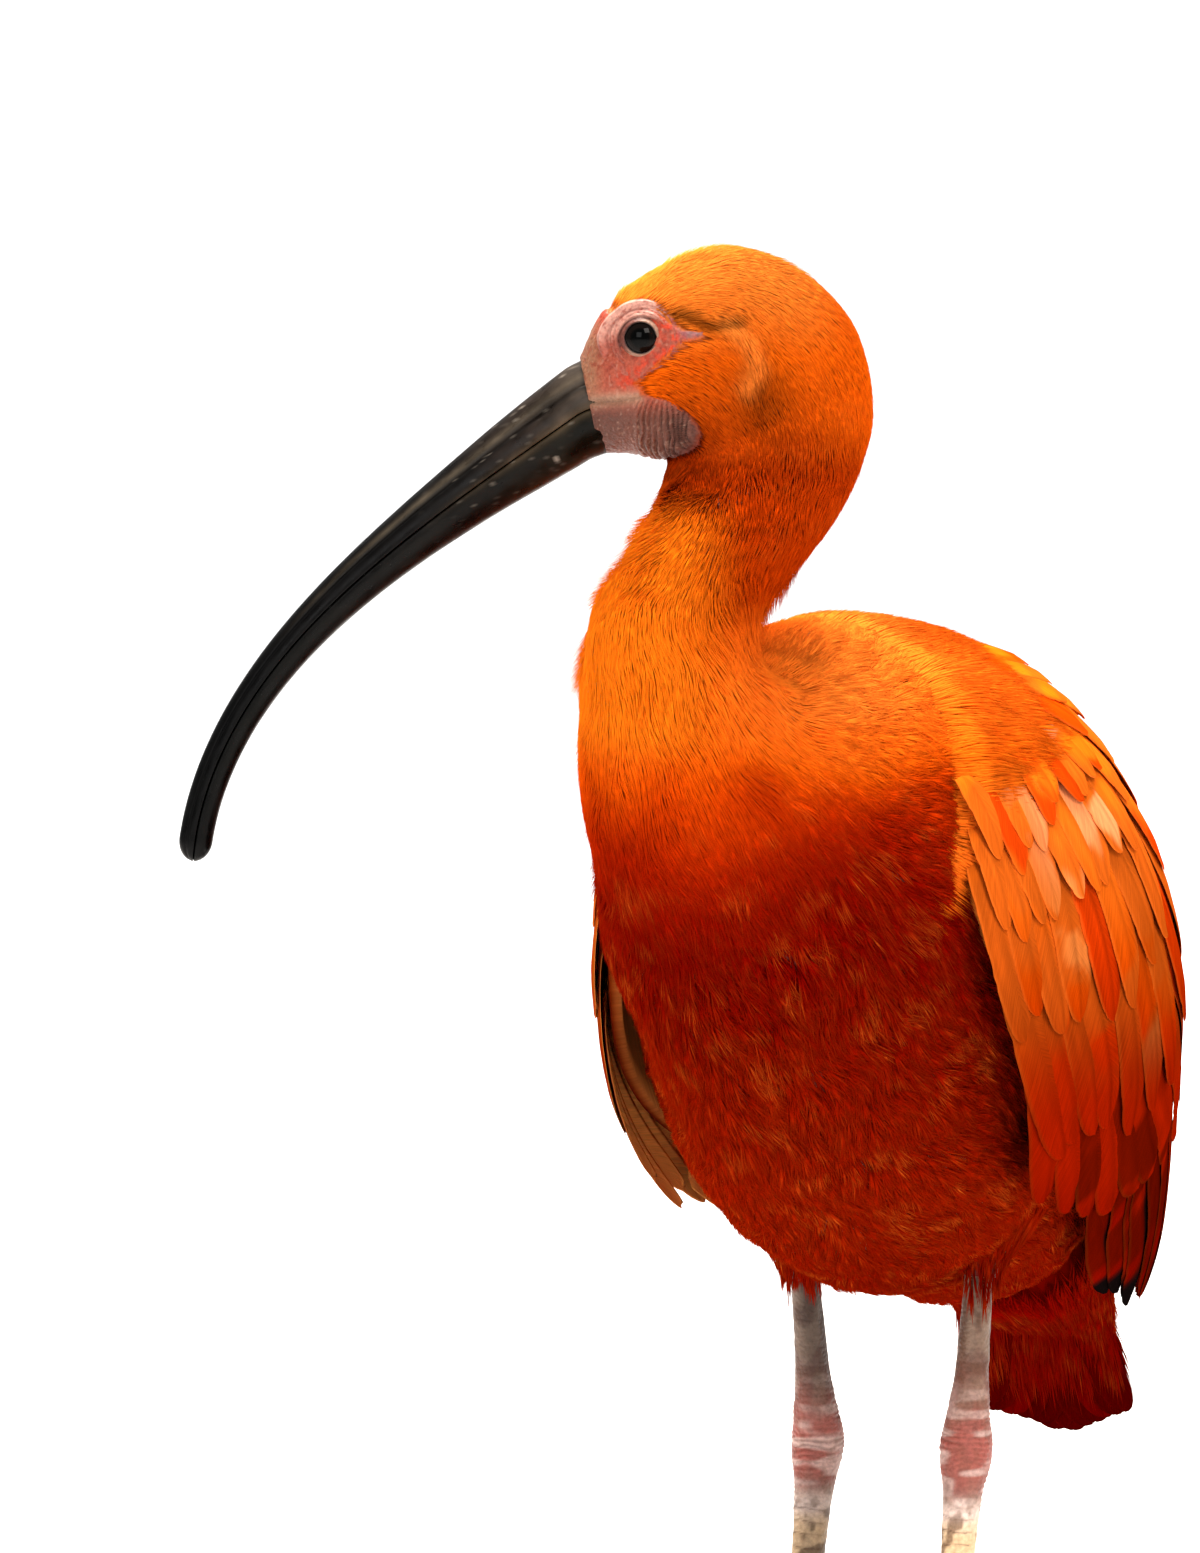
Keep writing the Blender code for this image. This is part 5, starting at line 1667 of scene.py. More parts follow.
@dataclass
class Bill:
    """The long bill, bent down, in two halves that meet in a dark line."""

    length: float = 0.1395
    start_angle: float = 35.0
    bend: float = 50.8
    bend_power: float = 2.6
    gap: float = 0.00036
    tuck: float = 0.0015
    tongue: float = 0.9
    rows: int = 150
    upper: tuple[Range, ...] = (
        (-1.0, 0.0), (-0.99, 0.20), (-0.90, 0.42), (-0.76, 0.52),
        (-0.70, 0.68), (-0.48, 0.88), (-0.2, 0.98), (0.0, 1.0),
    )
    lower: tuple[Range, ...] = (
        (-0.98, 0.0), (-0.97, -0.26), (-0.84, -0.56), (-0.58, -0.82), (-0.30, -0.96), (0.0, -1.0),
    )
    stops: tuple[float, ...] = (0.0, 0.10, 0.25, 0.5, 0.75, 1.0)
    upper_colours: tuple[str, ...] = ("3A322B", "211A16", "0B0908", "060505", "040404", "030303")
    lower_colours: tuple[str, ...] = ("0D0E0A", "100E0A", "0C0A08", "070605", "040403", "030303")
    edge: str = "6E5A40"
    # Painted highlight along the upper half's ridge; the groove below it gets painted shade.
    ridge: str = "6E6252"
    speck: str = "948A7E"

    def frame_at(self, u: Array) -> tuple[Array, Array]:
        """The middle line's point at the share u, and the way up: the angle grows as start + bend u^power."""
        fine = np.linspace(0, 1, 201)
        angle = np.radians(self.start_angle + self.bend * fine**self.bend_power)
        way = np.cos(angle)[:, None] * HEAD_FORWARD - np.sin(angle)[:, None] * UP
        run = np.concatenate([[np.zeros(3)], np.cumsum((way[1:] + way[:-1]) / 2, axis=0)]) * self.length / 200
        root = BODY.values[-1, :3]
        point = root + np.stack([np.interp(u, fine, run[:, i]) for i in range(3)], -1)
        angle = np.radians(self.start_angle + self.bend * u**self.bend_power)
        near = 1 - np.clip(u / 0.16, 0, 1)
        stand = np.radians(78.3) * near + (np.pi / 2 - angle) * (1 - near)
        return point, np.cos(stand)[:, None] * HEAD_FORWARD + np.sin(stand)[:, None] * UP

    def half(self, name: str, profile: Corners, material: Material) -> Piece:
        """One half: its profile carried along the middle line, smoothed, with the nostril pressed in.

        Args:
            name: the piece's name.
            profile: half width and half depth shares from the mouth line to the ridge.
            material: the horn's finish.

        Returns:
            The piece.
        """
        top = profile[-1][1]
        u = 1 - (1 - np.linspace(0.0, 1, self.rows)) ** 1.15
        point, up = self.frame_at(u)
        point = point - HEAD_FORWARD * (self.tuck * (1 - np.clip(u / 0.02, 0, 1)))[:, None]
        end = np.sqrt(np.clip(1 - ((u - 0.965).clip(0) / 0.035) ** 2, 0.02, 1))
        depth = ((0.0075 + 0.0142 * (1 - u) ** 2.3) / 2 * end)[:, None]
        width = ((0.0031 + 0.0053 * (1 - u) ** 1.6) * end)[:, None]
        outline = np.array([*profile, *[(-x, y) for x, y in profile[-2::-1]]])
        key = np.linspace(0, 1, len(outline))
        s = np.linspace(0, 1, 49)
        shape = hermite(key, outline, s)
        inner = np.linspace(0.9, -0.9, 15)
        shape = np.concatenate([shape, np.stack([inner, 0 * inner], -1)])
        tongue = np.concatenate([0 * s, self.tongue * MM * bell(inner, 0.45)])
        along, x, y = np.broadcast_arrays(u[:, None], shape[None, :, 0], shape[None, :, 1])
        gap = top * self.gap / 2
        rise = y * (depth - abs(gap)) + gap + tongue * end[:, None]
        ring = point[:, None] + HEAD_LEFT * (x * width)[..., None] + up[:, None] * rise[..., None]
        side = np.sign(x)
        if top > 0:
            slit = bell(u[:, None] - 0.080, 0.028) * bell(y - 0.53, 0.09)
            ring = ring - HEAD_LEFT * (side * slit * 0.8 * MM)[..., None]
        rough = (noise(ring, 0.0016, 91) - 0.5) * 0.16 * MM * ((1 - u) ** 2)[:, None]
        ring = ring + HEAD_LEFT * (side * rough)[..., None]
        obj = new_object(name, *tube(ring), material)
        set_attribute(obj, "Tint", with_ends(self.colour(along, x, y, ring, top)))
        run = stacked(along * self.length / MM * 0.16, x * 2.4, y * 2.4)
        set_attribute(obj, "Run", with_ends(run))
        set_uv(obj, with_ends(stacked(along, np.linspace(0, 0.98, x.shape[1]))))
        return obj

    def colour(self, u: Array, x: Array, y: Array, points: Array, top: float) -> Array:
        """Grey-brown at the root to near black at the tip, with beige edges, blotches and small pale specks,
        a painted shade in the upper groove and a painted highlight on the ridge above it.

        Args:
            u: share of the length.
            x: share of the half width.
            y: share of the half depth.
            points: positions.
            top: 1 on the upper half, -1 on the lower.

        Returns:
            Linear colours.
        """
        colour = gradient(u, self.stops, self.upper_colours if top > 0 else self.lower_colours)
        blotch = noise(points, 0.0045, 92) - 0.5 + 0.6 * (noise(points, 0.0018, 93) - 0.5)
        colour = colour * (1 + 0.9 * blotch * (1 - 0.6 * u))[..., None]
        edge = bell(y, 0.12) * ramp(np.abs(x), 0.8, 0.95) * (1 - ramp(u, 0.06, 0.35))
        colour = mix(colour, self.edge, 0.25 * edge)
        # Painted shade in the groove along the upper half, and a painted highlight on the ridge above it.
        if top > 0:
            colour = colour * (1 - 0.7 * bell(y - 0.48, 0.07) * (1 - ramp(u, 0.75, 0.95)))[..., None]
            colour = mix(colour, self.ridge, 0.35 * bell(y - 0.68, 0.09) * (1 - ramp(u, 0.3, 0.65)))
        specks = ramp(noise(points, 0.0007, 94), 0.80, 0.95) * (1 - ramp(u, 0.1, 0.35))
        return mix(colour, self.speck, 0.5 * specks)

    def build(self, material: Material) -> list[Piece]:
        """Both halves, upper first."""
        return [self.half("bill_top", self.upper, material), self.half("bill_bottom", self.lower, material)]


@dataclass
class EyeAndLids:
    """One eye with its almond lids and the puffy folds round them, in millimetres in the lid's plane."""

    side: Side
    middle: Point = (-0.0349, -0.0734, 0.3495)
    out: float = 0.0110
    radius: float = 4.6
    rim: float = 3.45
    columns: int = 120
    rows: int = 40
    pupil: str = "010101"
    iris: str = "0E0806"
    ball_edge: str = "050404"
    lid: str = "94705E"
    lid_back: str = "6A3A30"
    lash_line: str = "120806"
    puff: str = "9A5040"
    puff_top: str = "C48E7E"
    # Painted shade in the lid's crease and along the fold's outer edge.
    crease: str = "3C140E"
    fold_edge: str = "6A2418"
    speck: str = "8A2A18"

    def axes(self) -> tuple[Array, Array, Array]:
        """The ball's centre, its outward axis and the way forward across it."""
        outward = self.side.value * HEAD_LEFT
        axis = unit(outward + 0.10 * HEAD_FORWARD)
        return np.array(self.middle) + outward * self.out, axis, unit(np.cross(UP, axis) * self.side.value)

    def ball(self, material: Material) -> Piece:
        """A ball as rings about the axis, dark brown iris round a black pupil on its outer end."""
        centre, axis, forward = self.axes()
        polar, turn = round_net(48, 64)
        polar, turn = 0.02 + polar * (np.pi - 0.04), turn * 2 * np.pi
        flat = np.sin(polar)[..., None] * (np.cos(turn)[..., None] * forward + np.sin(turn)[..., None] * UP)
        points = centre + self.radius * MM * (flat + np.cos(polar)[..., None] * axis)
        obj = new_object(f"eye_ball_{self.side.word}", *tube(points), material)
        off = np.sin(polar) * self.radius
        iris = ramp(off, 2.0, 2.3) * (1 - ramp(off, 3.1, 3.5))
        colour = mix(self.pupil, self.iris, iris)
        colour = mix(colour, self.ball_edge, ramp(off, 3.2, 3.6))
        set_attribute(obj, "Tint", with_ends(colour))
        set_uv(obj, with_ends(stacked(polar / 3.2, turn / 6.3)))
        return obj

    def lids(self, skin: Piece, material: Material) -> Piece:
        """A ring of skin from inside the rim out over the lid, its crease and the fold, down into the face.

        Height over the ball's middle = blend from the ball's own cap to the face's height found on the
        skin, plus bells for the lid's roll, the crease and the outer fold. The radii stretch toward the
        corners of the almond.

        Args:
            skin: the built skin, whose height the outer edge meets.
            material: the bare skin's finish.

        Returns:
            The lids.
        """
        centre, axis, forward = self.axes()
        turn = np.arange(self.columns) / self.columns * 2 * np.pi
        degrees = np.degrees(turn)
        keys = [0, 40, 90, 140, 180, 230, 270, 320, 360]
        almond = np.interp(degrees, keys, [5.9, 4.7, 4.3, 4.6, 5.2, 5.0, 5.2, 5.6, 5.9])
        fold = np.interp(degrees, keys, [7.2, 6.6, 6.2, 6.5, 8.0, 7.2, 7.0, 7.2, 7.2])
        rim = self.rim + 0.45 * bell((degrees + 8 + 180) % 360 - 180, 16) + 0.25 * bell(degrees - 178, 14)
        rings = np.linspace(0, 1, self.rows)[:, None]
        outer = fold + 2.6
        r = rim * 0.97 + (outer - rim * 0.97) * rings
        x, y = r * np.cos(turn), r * np.sin(turn)
        plane = centre + MM * (x[..., None] * forward + y[..., None] * UP)
        tree = BVHTree.FromObject(skin, bpy.context.evaluated_depsgraph_get())
        face = np.array([self.height(tree, spot, axis) for spot in plane.reshape(-1, 3)]).reshape(x.shape)
        cap = np.sqrt(np.clip(self.radius**2 - r**2, 0.3, None))
        span = (r - rim) / (almond - rim)
        past = (r - almond) / (fold - almond)
        lid = cap + 0.15 + 0.75 * np.sqrt(np.clip(span * 2.2, 0, 1))
        blend = ramp(r, 4.1, 7.4)
        height = lid * (1 - blend) + np.maximum(face, 0) * blend
        height = height - 0.38 * bell(r - almond, 0.38) - 0.22 * bell(r - fold, 0.4)
        height = height + 0.45 * bell(past - 0.55, 0.42) * (0.5 + 0.5 * np.sin(turn))
        wrinkles = np.sin(r * 7.5 + 2 * noise(plane, 0.0016, 101))
        height = height + 0.16 * wrinkles * ramp(r, 4.6, 5.6) * (1 - ramp(r, 7, 8))
        edge = ramp(rings, 0.86, 1.0)
        height = height * (1 - edge) + (face - 0.25) * edge
        grain = 0.18 * (noise(plane, 0.0008, 102) - 0.5) * ramp(r, 3.8, 4.6)
        points = plane + MM * (height + grain)[..., None] * axis
        thin = np.where(np.arange(self.rows) < 3, 0.25, 1.0)[:, None, None]
        ring = np.concatenate([points, (points - axis * 1.2 * MM * thin)[::-1]])
        faces = [grid_faces(len(ring), self.columns, 0, around=True)]
        j = np.arange(self.columns)
        k = (j + 1) % self.columns
        last = (len(ring) - 1) * self.columns
        faces.append(np.stack([last + j, last + k, k, j], -1))
        obj = new_object(f"eyelids_{self.side.word}", ring, faces, material)
        colour = self.colour(r, x, y, almond, fold, plane)
        # Painted shade: the lids' inner layer is their colour at half strength.
        set_attribute(obj, "Tint", np.concatenate([colour, colour[::-1] * 0.5]))
        places = stacked(rings * 0.45, turn / 6.5)
        set_uv(obj, np.concatenate([places, places[::-1] + (0.5, 0.0)]))
        return obj

    def height(self, tree: BVHTree, spot: Array, axis: Array) -> float:
        """Millimetres from the lid's plane to the skin along the axis, from a ray cast inward."""
        start = Vector(spot + BOX_SHIFT + axis * 0.012)
        hit = tree.ray_cast(start, Vector(-axis), 0.03)[0]
        return -2.0 if hit is None else (np.array(hit) - spot - BOX_SHIFT) @ axis / MM

    def colour(self, r: Array, x: Array, y: Array, almond: Array, fold: Array, points: Array) -> Array:
        """Beige lid, browner behind, painted shade in the crease and at the fold's outer edge, pale pink
        fold, red specks outside it.

        Args:
            r: millimetres from the eye's middle.
            x: millimetres forward.
            y: millimetres up.
            almond: radius of the crease.
            fold: radius of the fold's outer edge.
            points: positions.

        Returns:
            Linear colours.
        """
        lid = mix(self.lid, self.lid_back, ramp(-x + 0.4 * y, 0.5, 3.0))
        lid = mix(lid, self.lash_line, 1 - ramp(r, 3.45, 3.8))
        outer = mix(self.puff, self.puff_top, ramp(y - 0.4 * x, 1, 5))
        colour = mix(lid, outer, ramp(r - almond, -0.2, 0.3))
        # Painted shade: darker in the lid's crease and at the fold's outer edge.
        colour = mix(colour, self.crease, 0.8 * bell(r - almond, 0.30))
        colour = mix(colour, self.fold_edge, 0.55 * bell(r - fold, 0.4))
        specks = ramp(noise(points, 0.0006, 61), 0.52, 0.80) * ramp(r - almond, 0.3, 1.2)
        return mix(colour, self.speck, 0.6 * specks)


# Legs and claws


@dataclass(frozen=True)
class Toe:
    """One toe: its way in degrees out from straight ahead, length and base radius in metres."""

    name: str
    out: float
    length: float
    radius: float

    def way(self, side: Side) -> Array:
        """The level way the toe points."""
        angle = math.radians(self.out) * side.value
        return np.array([math.sin(angle), -math.cos(angle), 0.0])

    def path(self, side: Side, foot: Array, s: Array) -> tuple[Array, Array]:
        """Middle line and radius: hub + way * length s + sideways bend s^2, with a low arch at the hub."""
        way = self.way(side)
        bend = 0.0 if self.name == "hind" else 0.05 * side.value * math.copysign(1, self.out)
        width = self.radius * (1 - 0.36 * s) * (1 + 0.06 * np.cos(s * 7 * np.pi))
        height = np.interp(s, [0, 0.12, 0.2, 1], [0.0052, 0.0030, 0.0026, 0.82 * self.radius * 0.62])
        sideways = np.array([way[1], -way[0], 0.0]) * bend
        s = s[:, None]
        return foot * (1, 1, 0) + self.length * (way * s + sideways * s**2) + UP * height[:, None], width


TOES = (
    Toe("middle", 8.0, 0.061, 0.0036),
    Toe("inner", -15.0, 0.045, 0.0034),
    Toe("outer", 35.0, 0.052, 0.0034),
    Toe("hind", 178.0, 0.027, 0.0031),
)


def floor_rings(line: Array, radius: Array, shares: Range, angle: Array) -> tuple[Array, Array]:
    """Rings along a line near the floor: line + radius * (wide sin a * across + high cos a * stand).

    Args:
        line: the middle line's points.
        radius: metres at each of them.
        shares: how wide and how high a ring is, as shares of the radius.
        angle: the places round a ring, 0 on top.

    Returns:
        The rings and the way that each stands up.
    """
    along = unit(np.gradient(line, axis=0))
    across = unit(np.cross(along, UP))
    stand = np.cross(across, along)[:, None]
    wide, high = shares[0] * np.sin(angle)[:, None], shares[1] * np.cos(angle)[:, None]
    return line[:, None] + radius[:, None, None] * (wide * across[:, None] + high * stand), stand


@dataclass
class Leg:
    """One bare leg from under the thigh's feathers to the toes, with its scutes, wrinkles, webs and claws."""

    places: LegPlaces
    rows: int = 420
    columns: int = 48
    scute: float = 3.0
    wrinkle: float = 1.3
    claw: float = 0.0085
    web_thick: float = 0.0012
    shank: str = "5E4234"
    ankle: str = "A0544A"
    mottle: str = "98806E"
    tarsus: str = "D6B48C"
    ring: str = "DCC4BA"
    # Painted shade in the leg's folds and scute steps.
    crease: str = "5E3A2C"
    mark: str = "5A3A22"
    toe_top: str = "C6A07C"
    # Painted shade at the toe scutes' steps.
    toe_crease: str = "5A3A2A"
    toe_mark: str = "6B452E"
    web_skin: str = "9A6A58"
    claw_root: str = "4A3628"
    claw_point: str = "1A1411"

    def limb(self) -> tuple[Array, Array, Array]:
        """The limb's rings: a round tube with creases 1.3 mm apart across the ankle and scutes below it.

        Returns:
            The rings, their colours and their places on the bake map.
        """
        edge, ankle = np.array(self.places.feather_edge), np.array(self.places.ankle)
        shin, foot = np.array(self.places.shin), np.array(self.places.foot)
        path = [edge + (ankle - edge) * share for share in (-0.10, 0.0, 0.30, 0.60, 0.82)]
        path += [ankle + (shin - ankle) * share for share in (0.0, 0.16, 0.34, 0.67)]
        path += [shin + (foot - shin) * share for share in (0.0, 0.35, 0.7)]
        path += [foot + UP * 0.0035, foot - UP * 0.004, foot * (1, 1, 0)]
        radii = [3.3, 3.35, 3.6, 4.1, 5.2, 6.1, 5.8, 4.9, 4.2, 3.9, 3.9, 4.0, 4.5, 5.3, 4.4]
        surface = TubeSurface(self.places.side, np.array(path), np.array(radii) * MM)
        p, q = round_net(self.rows, self.columns)
        points = surface.point(p, q)
        normal = slopes(surface, p, q)[2]
        z = points[..., 2] / MM
        front = np.cos(2 * np.pi * q)
        joint = bell(z - ankle[2] / MM, 13)
        low = 1 - ramp(z, ankle[2] / MM - 17, ankle[2] / MM - 9)
        slow = noise(points, 0.005, 111) * 2.2
        rings = np.sin(np.pi * (z / self.wrinkle + slow + 0.5 * front)) ** 2
        folds = 0.34 * (rings - 0.6) * joint * (0.35 + 0.65 * ramp(noise(points, 0.005, 115), 0.35, 0.7))
        step = (z / self.scute + 0.25 * slow) % 1.0
        plates = 0.30 * step**2.5 - 0.18 * bell(step, 0.10) - 0.18 * bell(step - 1, 0.10)
        scutes = plates * low * ramp(np.abs(front), 0.25, 0.7)
        cells = 0.34 * (noise(points * (1, 1, 0.75), 0.0016, 112) - 0.5) * (0.5 + 0.5 * (1 - np.abs(front)))
        tendon = 0.35 * bell(front + 1, 0.18) * (1 - ramp(z, 86, 100))
        points = points + normal * (MM * (folds + scutes + cells + tendon))[..., None]
        points[..., 2] = np.maximum(points[..., 2], 0.0)
        colour = mix(self.shank, self.ankle, joint)
        mottle = ramp(noise(points * (1, 1, 0.6), 0.0032, 116), 0.48, 0.70) * (1 - joint) * (1 - low)
        colour = mix(colour, self.mottle, 0.55 * mottle)
        colour = mix(colour, self.tarsus, low)
        bands = ramp(noise(points * (0.5, 0.5, 1.6), 0.0035, 113), 0.50, 0.68) * joint
        collar = bell(z - ankle[2] / MM + 13.5, 3.0)
        colour = mix(colour, self.ring, np.clip(0.6 * bands + 0.85 * collar, 0, 0.85))
        # Painted shade: darker in the ankle's folds and at the scutes' steps.
        crease = np.clip(-(folds / 0.3) * joint - 5.5 * scutes, 0, 1)
        colour = mix(colour, self.crease, 0.65 * crease)
        marks = ramp(noise(points * (1, 1, 0.7), 0.0019, 114), 0.58, 0.72) * (0.35 + 0.6 * low)
        colour = mix(colour, self.mark, 0.75 * marks)
        # Painted light and shade: the left leg is lighter toward the foot; the right leg is darker, lighter
        # where its skin faces the bird's right and at the ankle.
        tone = 0.90 + 0.20 * low
        if self.places.side is Side.RIGHT:
            tone = 0.32 + 0.38 * ramp(-normal[..., 0], -0.3, 0.8) + 0.32 * joint
        return points, colour * tone[..., None], stacked(p * 0.5, q)

    def toe(self, toe: Toe, order: int) -> tuple[Array, Array, Array]:
        """One toe's rings: a flattened tube with ring scutes 2 mm apart on top and a flat sole at the floor.

        Args:
            toe: which toe.
            order: its place in the row, for the bake map.

        Returns:
            The rings, their colours and their places on the bake map.
        """
        side, foot = self.places.side, np.array(self.places.foot)
        s = np.linspace(0, 1, 90)
        line, width = toe.path(side, foot, s)
        q = np.arange(32) / 32 * 2 * np.pi
        round_end = np.sqrt(np.clip(1 - ((s - 0.93).clip(0) / 0.07) ** 2, 0.25, 1))
        ring, stand = floor_rings(line, width * round_end, (1.0, 0.86), q)
        step = (s * toe.length / MM / 2.0)[:, None] % 1.0
        scutes = 0.20 * step**2.5 - 0.14 * bell(step, 0.1) - 0.14 * bell(step - 1, 0.1)
        scutes = scutes * np.clip(np.cos(q), 0, 1)
        ring = ring + (MM * scutes)[..., None] * stand
        ring[..., 2] = np.maximum(ring[..., 2], 0.0)
        # Painted shade at the steps between the toe's scutes.
        colour = mix(self.toe_top, self.toe_crease, np.clip(-4 * scutes, 0, 0.8))
        colour = mix(colour, self.toe_mark, 0.5 * ramp(noise(ring, 0.0025, 115), 0.6, 0.8))
        return ring, colour, stacked(0.52 + 0.11 * order + 0.1 * s[:, None], q / 6.5)

    def web(self, first: Toe, second: Toe) -> tuple[Array, list[Array]]:
        """The small web between two toes: a plate from one toe's line to the other's, its edge drawn in.

        Args:
            first: one toe.
            second: the other.

        Returns:
            Vertices and faces.
        """
        side, foot = self.places.side, np.array(self.places.foot)
        s, t = np.meshgrid(np.linspace(0, 1, 10), np.linspace(0, 1, 12), indexing="ij")
        reach = 0.016 * s * (1 - 0.42 * np.sin(np.pi * t))
        way = first.way(side) * (1 - t[..., None]) + second.way(side) * t[..., None]
        middle = foot * (1, 1, 0) + way * reach[..., None] + UP * 0.0019
        half = UP * self.web_thick / 2
        return tube(np.concatenate([middle + half, (middle - half)[:, ::-1]], 1))

    def build(self, skin: Material, horn: Material) -> list[Piece]:
        """The leg with its toes and webs, then its claws.

        Args:
            skin: the scutes' finish.
            horn: the claws' finish.

        Returns:
            The leg, then four claws.
        """
        parts, tints, places = [], [], []
        for rings, colour, place in [self.limb(), *[self.toe(toe, i) for i, toe in enumerate(TOES)]]:
            parts.append(tube(rings))
            tints.append(with_ends(colour))
            places.append(with_ends(place))
        for i, pair in enumerate(((0, 1), (0, 2))):
            web = self.web(TOES[pair[0]], TOES[pair[1]])
            parts.append(web)
            tints.append(np.tile(linear(self.web_skin), (len(web[0]), 1)))
            places.append(stacked(0.02 + 0.4 * (web[0][:, 0] % 0.02) / 0.02, 0.3 * i))
        word = self.places.side.word
        obj = new_object(f"leg_{word}", *merge(parts), skin)
        set_attribute(obj, "Tint", np.concatenate(tints))
        set_uv(obj, np.concatenate(places))
        return [obj, *[self.claw_piece(toe, horn) for toe in TOES]]

    def claw_piece(self, toe: Toe, horn: Material) -> Piece:
        """A claw: a tapering tube from the toe's end, bent down to the floor past its first quarter."""
        side, foot = self.places.side, np.array(self.places.foot)
        line, width = toe.path(side, foot, np.linspace(0, 1, 40))
        way = unit(line[-1] - line[-2])
        s = np.linspace(0, 1, 22)
        start = line[-1] - way * 0.0006
        drop = (start[2] + way[2] * self.claw - 0.0006) * ((s - 0.25).clip(0) / 0.75) ** 1.6
        path = start + way * (self.claw * s)[:, None] - UP * drop[:, None]
        radius = width[-1] * np.interp(s, [0, 0.25, 0.5, 0.75, 1], [0.80, 0.72, 0.55, 0.34, 0.07])
        q = np.arange(20) / 20 * 2 * np.pi
        ring, _ = floor_rings(path, radius, (0.85, 1.0), q)
        ring[..., 2] = np.maximum(ring[..., 2], 0.0002)
        obj = new_object(f"claw_tip_{toe.name}_{side.word}", *tube(ring), horn)
        colour = mix(self.claw_root, self.claw_point, s[:, None] * np.ones(20))
        set_attribute(obj, "Tint", with_ends(colour))
        set_attribute(obj, "Run", with_ends(stacked(s[:, None] * 3, np.cos(q), np.sin(q))))
        set_uv(obj, with_ends(stacked(s[:, None], q / 6.5)))
        return obj


# Studio


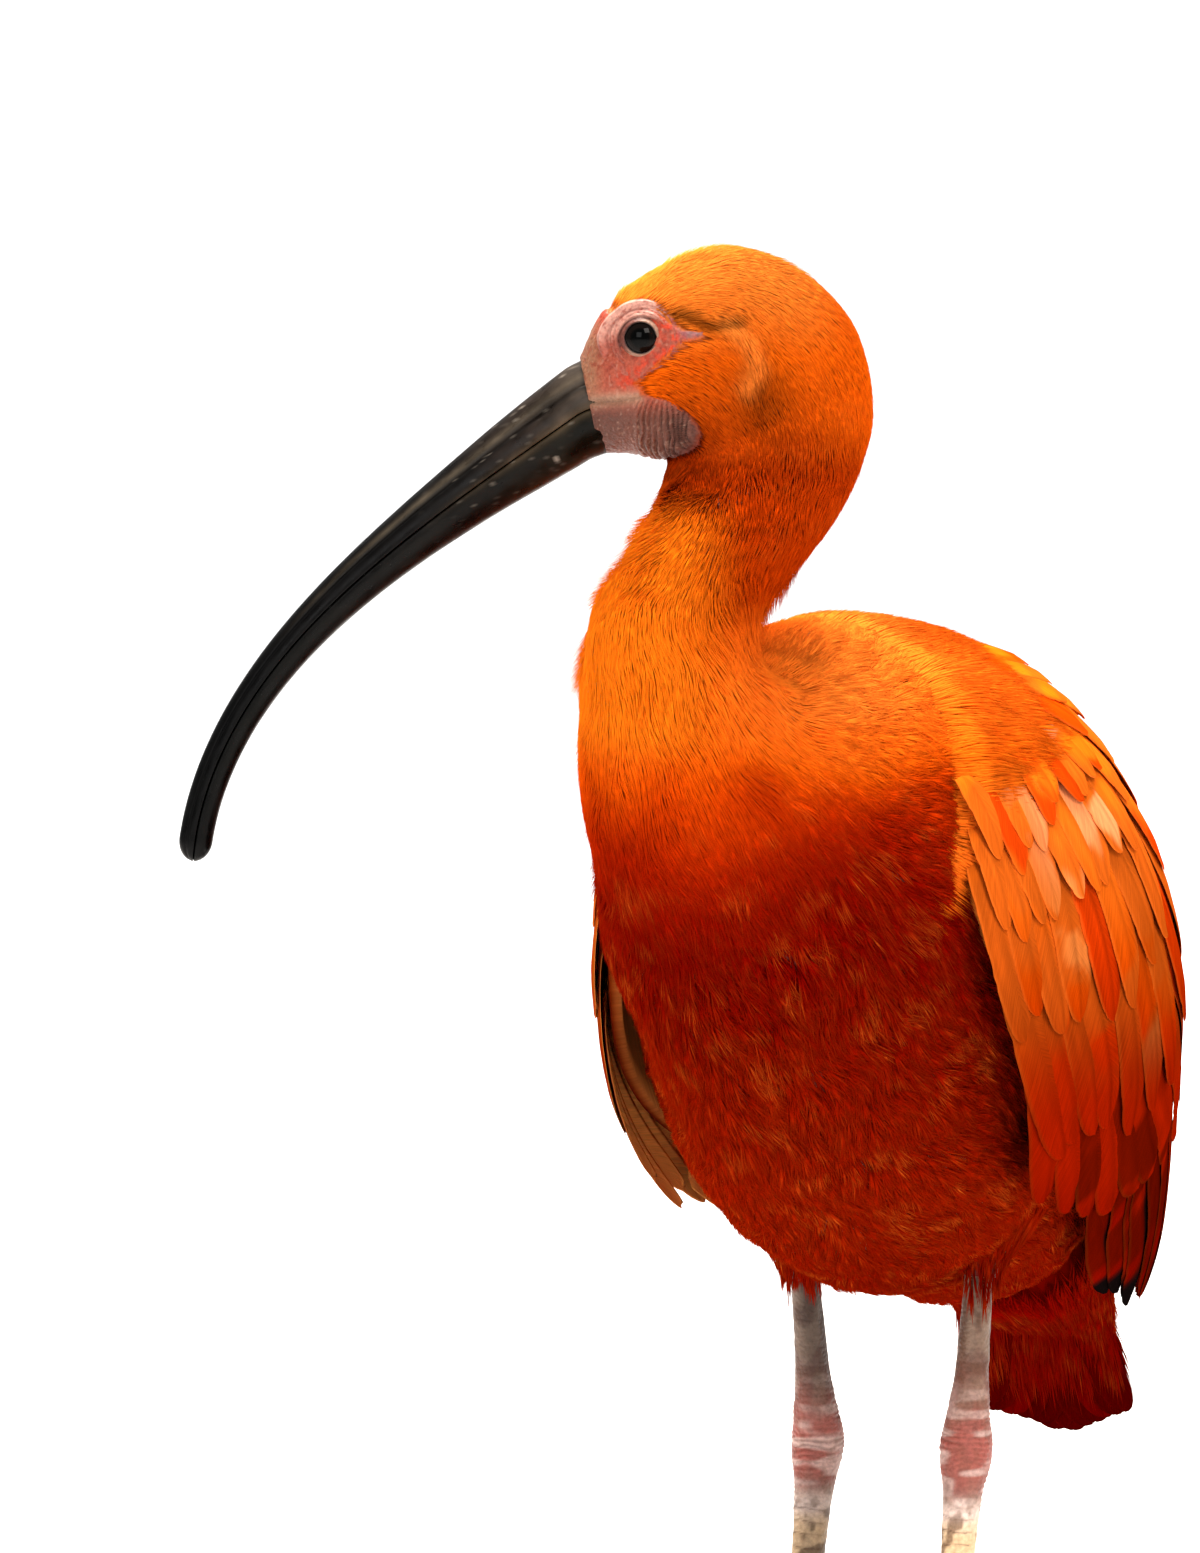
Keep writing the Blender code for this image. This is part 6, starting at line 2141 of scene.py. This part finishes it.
@dataclass
class Studio:
    """A seamless white ground, a large soft light above, fills and the camera at the photograph's angle."""

    half_width: float = 5.0
    front: float = -5.0
    back: float = 4.0
    bend: float = 1.2
    height: float = 6.0
    camera_place: Point = (0.64711, -1.88707, 0.38579)
    camera_target: Point = (-0.02994, -0.0269, 0.24737)
    lens: float = 200.0
    sensor: float = 36.0
    air: float = 0.42

    def ground(self, material: Material) -> Piece:
        """Floor and wall as one sheet: a flat run, a quarter round, then straight up, carried along X."""
        turn = np.linspace(0, np.pi / 2, 24)
        y = np.concatenate([[self.front], self.back + self.bend * np.sin(turn), [self.back + self.bend]])
        z = np.concatenate([[0.0], self.bend * (1 - np.cos(turn)), [self.height]])
        x = np.linspace(-self.half_width, self.half_width, 3)
        verts = stacked(x[None, :], y[:, None], z[:, None])
        mesh = bpy.data.meshes.new("ground")
        faces = grid_faces(len(y), 3)[:, ::-1]
        mesh.from_pydata(verts.reshape(-1, 3).tolist(), [], faces.tolist())
        mesh.polygons.foreach_set("use_smooth", np.ones(len(faces), bool))
        mesh.materials.append(material)
        obj = bpy.data.objects.new("ground", mesh)
        bpy.context.scene.collection.objects.link(obj)
        return obj

    def aimed(self, obj: Piece, place: Sequence[float], target: Sequence[float]) -> None:
        """Puts an object at a place, looking at a target along its own -Z."""
        obj.location = place
        obj.rotation_euler = (Vector(target) - Vector(place)).to_track_quat("-Z", "Y").to_euler()
        bpy.context.scene.collection.objects.link(obj)

    def light(self, name: str, place: Sequence[float], size: float, power: float, colour: str) -> None:
        """A square soft light that looks at the bird's middle."""
        data = bpy.data.lights.new(name, "AREA")
        data.size, data.energy, data.color = size, power, linear(colour)
        self.aimed(bpy.data.objects.new(name, data), place, (0.0, 0.0, 0.22))

    def camera(self) -> None:
        """The camera, 20 degrees to the bird's left of front and 4 degrees down."""
        data = bpy.data.cameras.new("camera")
        data.lens, data.sensor_height, data.sensor_fit = self.lens, self.sensor, "VERTICAL"
        obj = bpy.data.objects.new("camera", data)
        self.aimed(obj, self.camera_place, self.camera_target)
        bpy.context.scene.camera = obj

    def build(self) -> None:
        """Camera, ground, lights, a pale world and a plain view transform."""
        self.camera()
        self.ground(StudioPaper().build())
        self.light("light_top", (-0.20, 0.40, 1.9), 0.9, 97.0, "FFF6EC")
        self.light("light_front", (0.1, -1.9, 0.9), 0.9, 11.0, "FFFFFF")
        self.light("light_side", (1.1, -0.9, 1.5), 0.8, 25.0, "FFF8F0")
        self.light("light_wall", (0.0, 1.6, 2.6), 2.0, 170.0, "FFFFFF")
        bpy.data.objects["light_wall"].rotation_euler = (math.radians(68), 0, 0)
        world = bpy.data.worlds.new("studio_air")
        world.use_nodes = True
        background = world.node_tree.nodes["Background"]
        background.inputs["Color"].default_value = (1.0, 1.0, 1.0, 1.0)
        background.inputs["Strength"].default_value = self.air
        bpy.context.scene.world = world
        bpy.context.scene.view_settings.view_transform = "Standard"


# Assembly


def settle(objects: Sequence[Piece], replaced: Sequence[str] = ()) -> None:
    """Rides each piece on the bird, logs its faces and hides the CAD nodes that the pieces stand for.

    Args:
        objects: the pieces.
        replaced: nodes that the first piece stands for.
    """
    for obj in objects:
        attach(obj, "root")
        LOG.info("%s: %d faces", obj.name, len(obj.data.polygons))
    if replaced:
        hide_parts(*replaced)


def main() -> None:
    """Builds the studio and then the bird, from the skin out."""
    logging.basicConfig(level=logging.INFO, format="%(message)s")
    Studio().build()
    barbs, blades = FeatherBarbs().build(), FeatherVane().build()
    face = BareSkin("face_skin", grain=0.6, strength=0.5, roughness=0.48).build()
    scales = BareSkin("leg_scutes", grain=0.9, strength=0.45, roughness=0.5, scatter=0.06).build()
    horn = BillHorn().build()

    skin = Skin().build(face)
    settle([skin], ("torso", "neck_lower", "neck_upper", "head", "thigh_left", "thigh_right"))
    coat = BodyCoat()
    settle(coat.build(barbs))
    for side in Side:
        settle(Wing(side).build(blades), (f"wing_{side.word}",))
        eye = EyeAndLids(side)
        settle([eye.ball(WetEye().build())], (f"eye_{side.word}",))
        settle([eye.lids(skin, face)])
    settle(Tail().build(blades, barbs, coat), ("tail",))
    top, bottom = Bill().build(horn)
    settle([top], ("bill_upper",))
    settle([bottom], ("bill_lower",))
    for places in LEG_PLACES:
        word = places.side.word
        leg, *claws = Leg(places).build(scales, horn)
        settle([leg], (f"tibia_{word}", f"tarsus_{word}", f"foot_{word}"))
        for toe, claw in zip(TOES, claws):
            settle([claw], (f"claw_{toe.name}_{word}",))


if __name__ == "__main__":
    main()
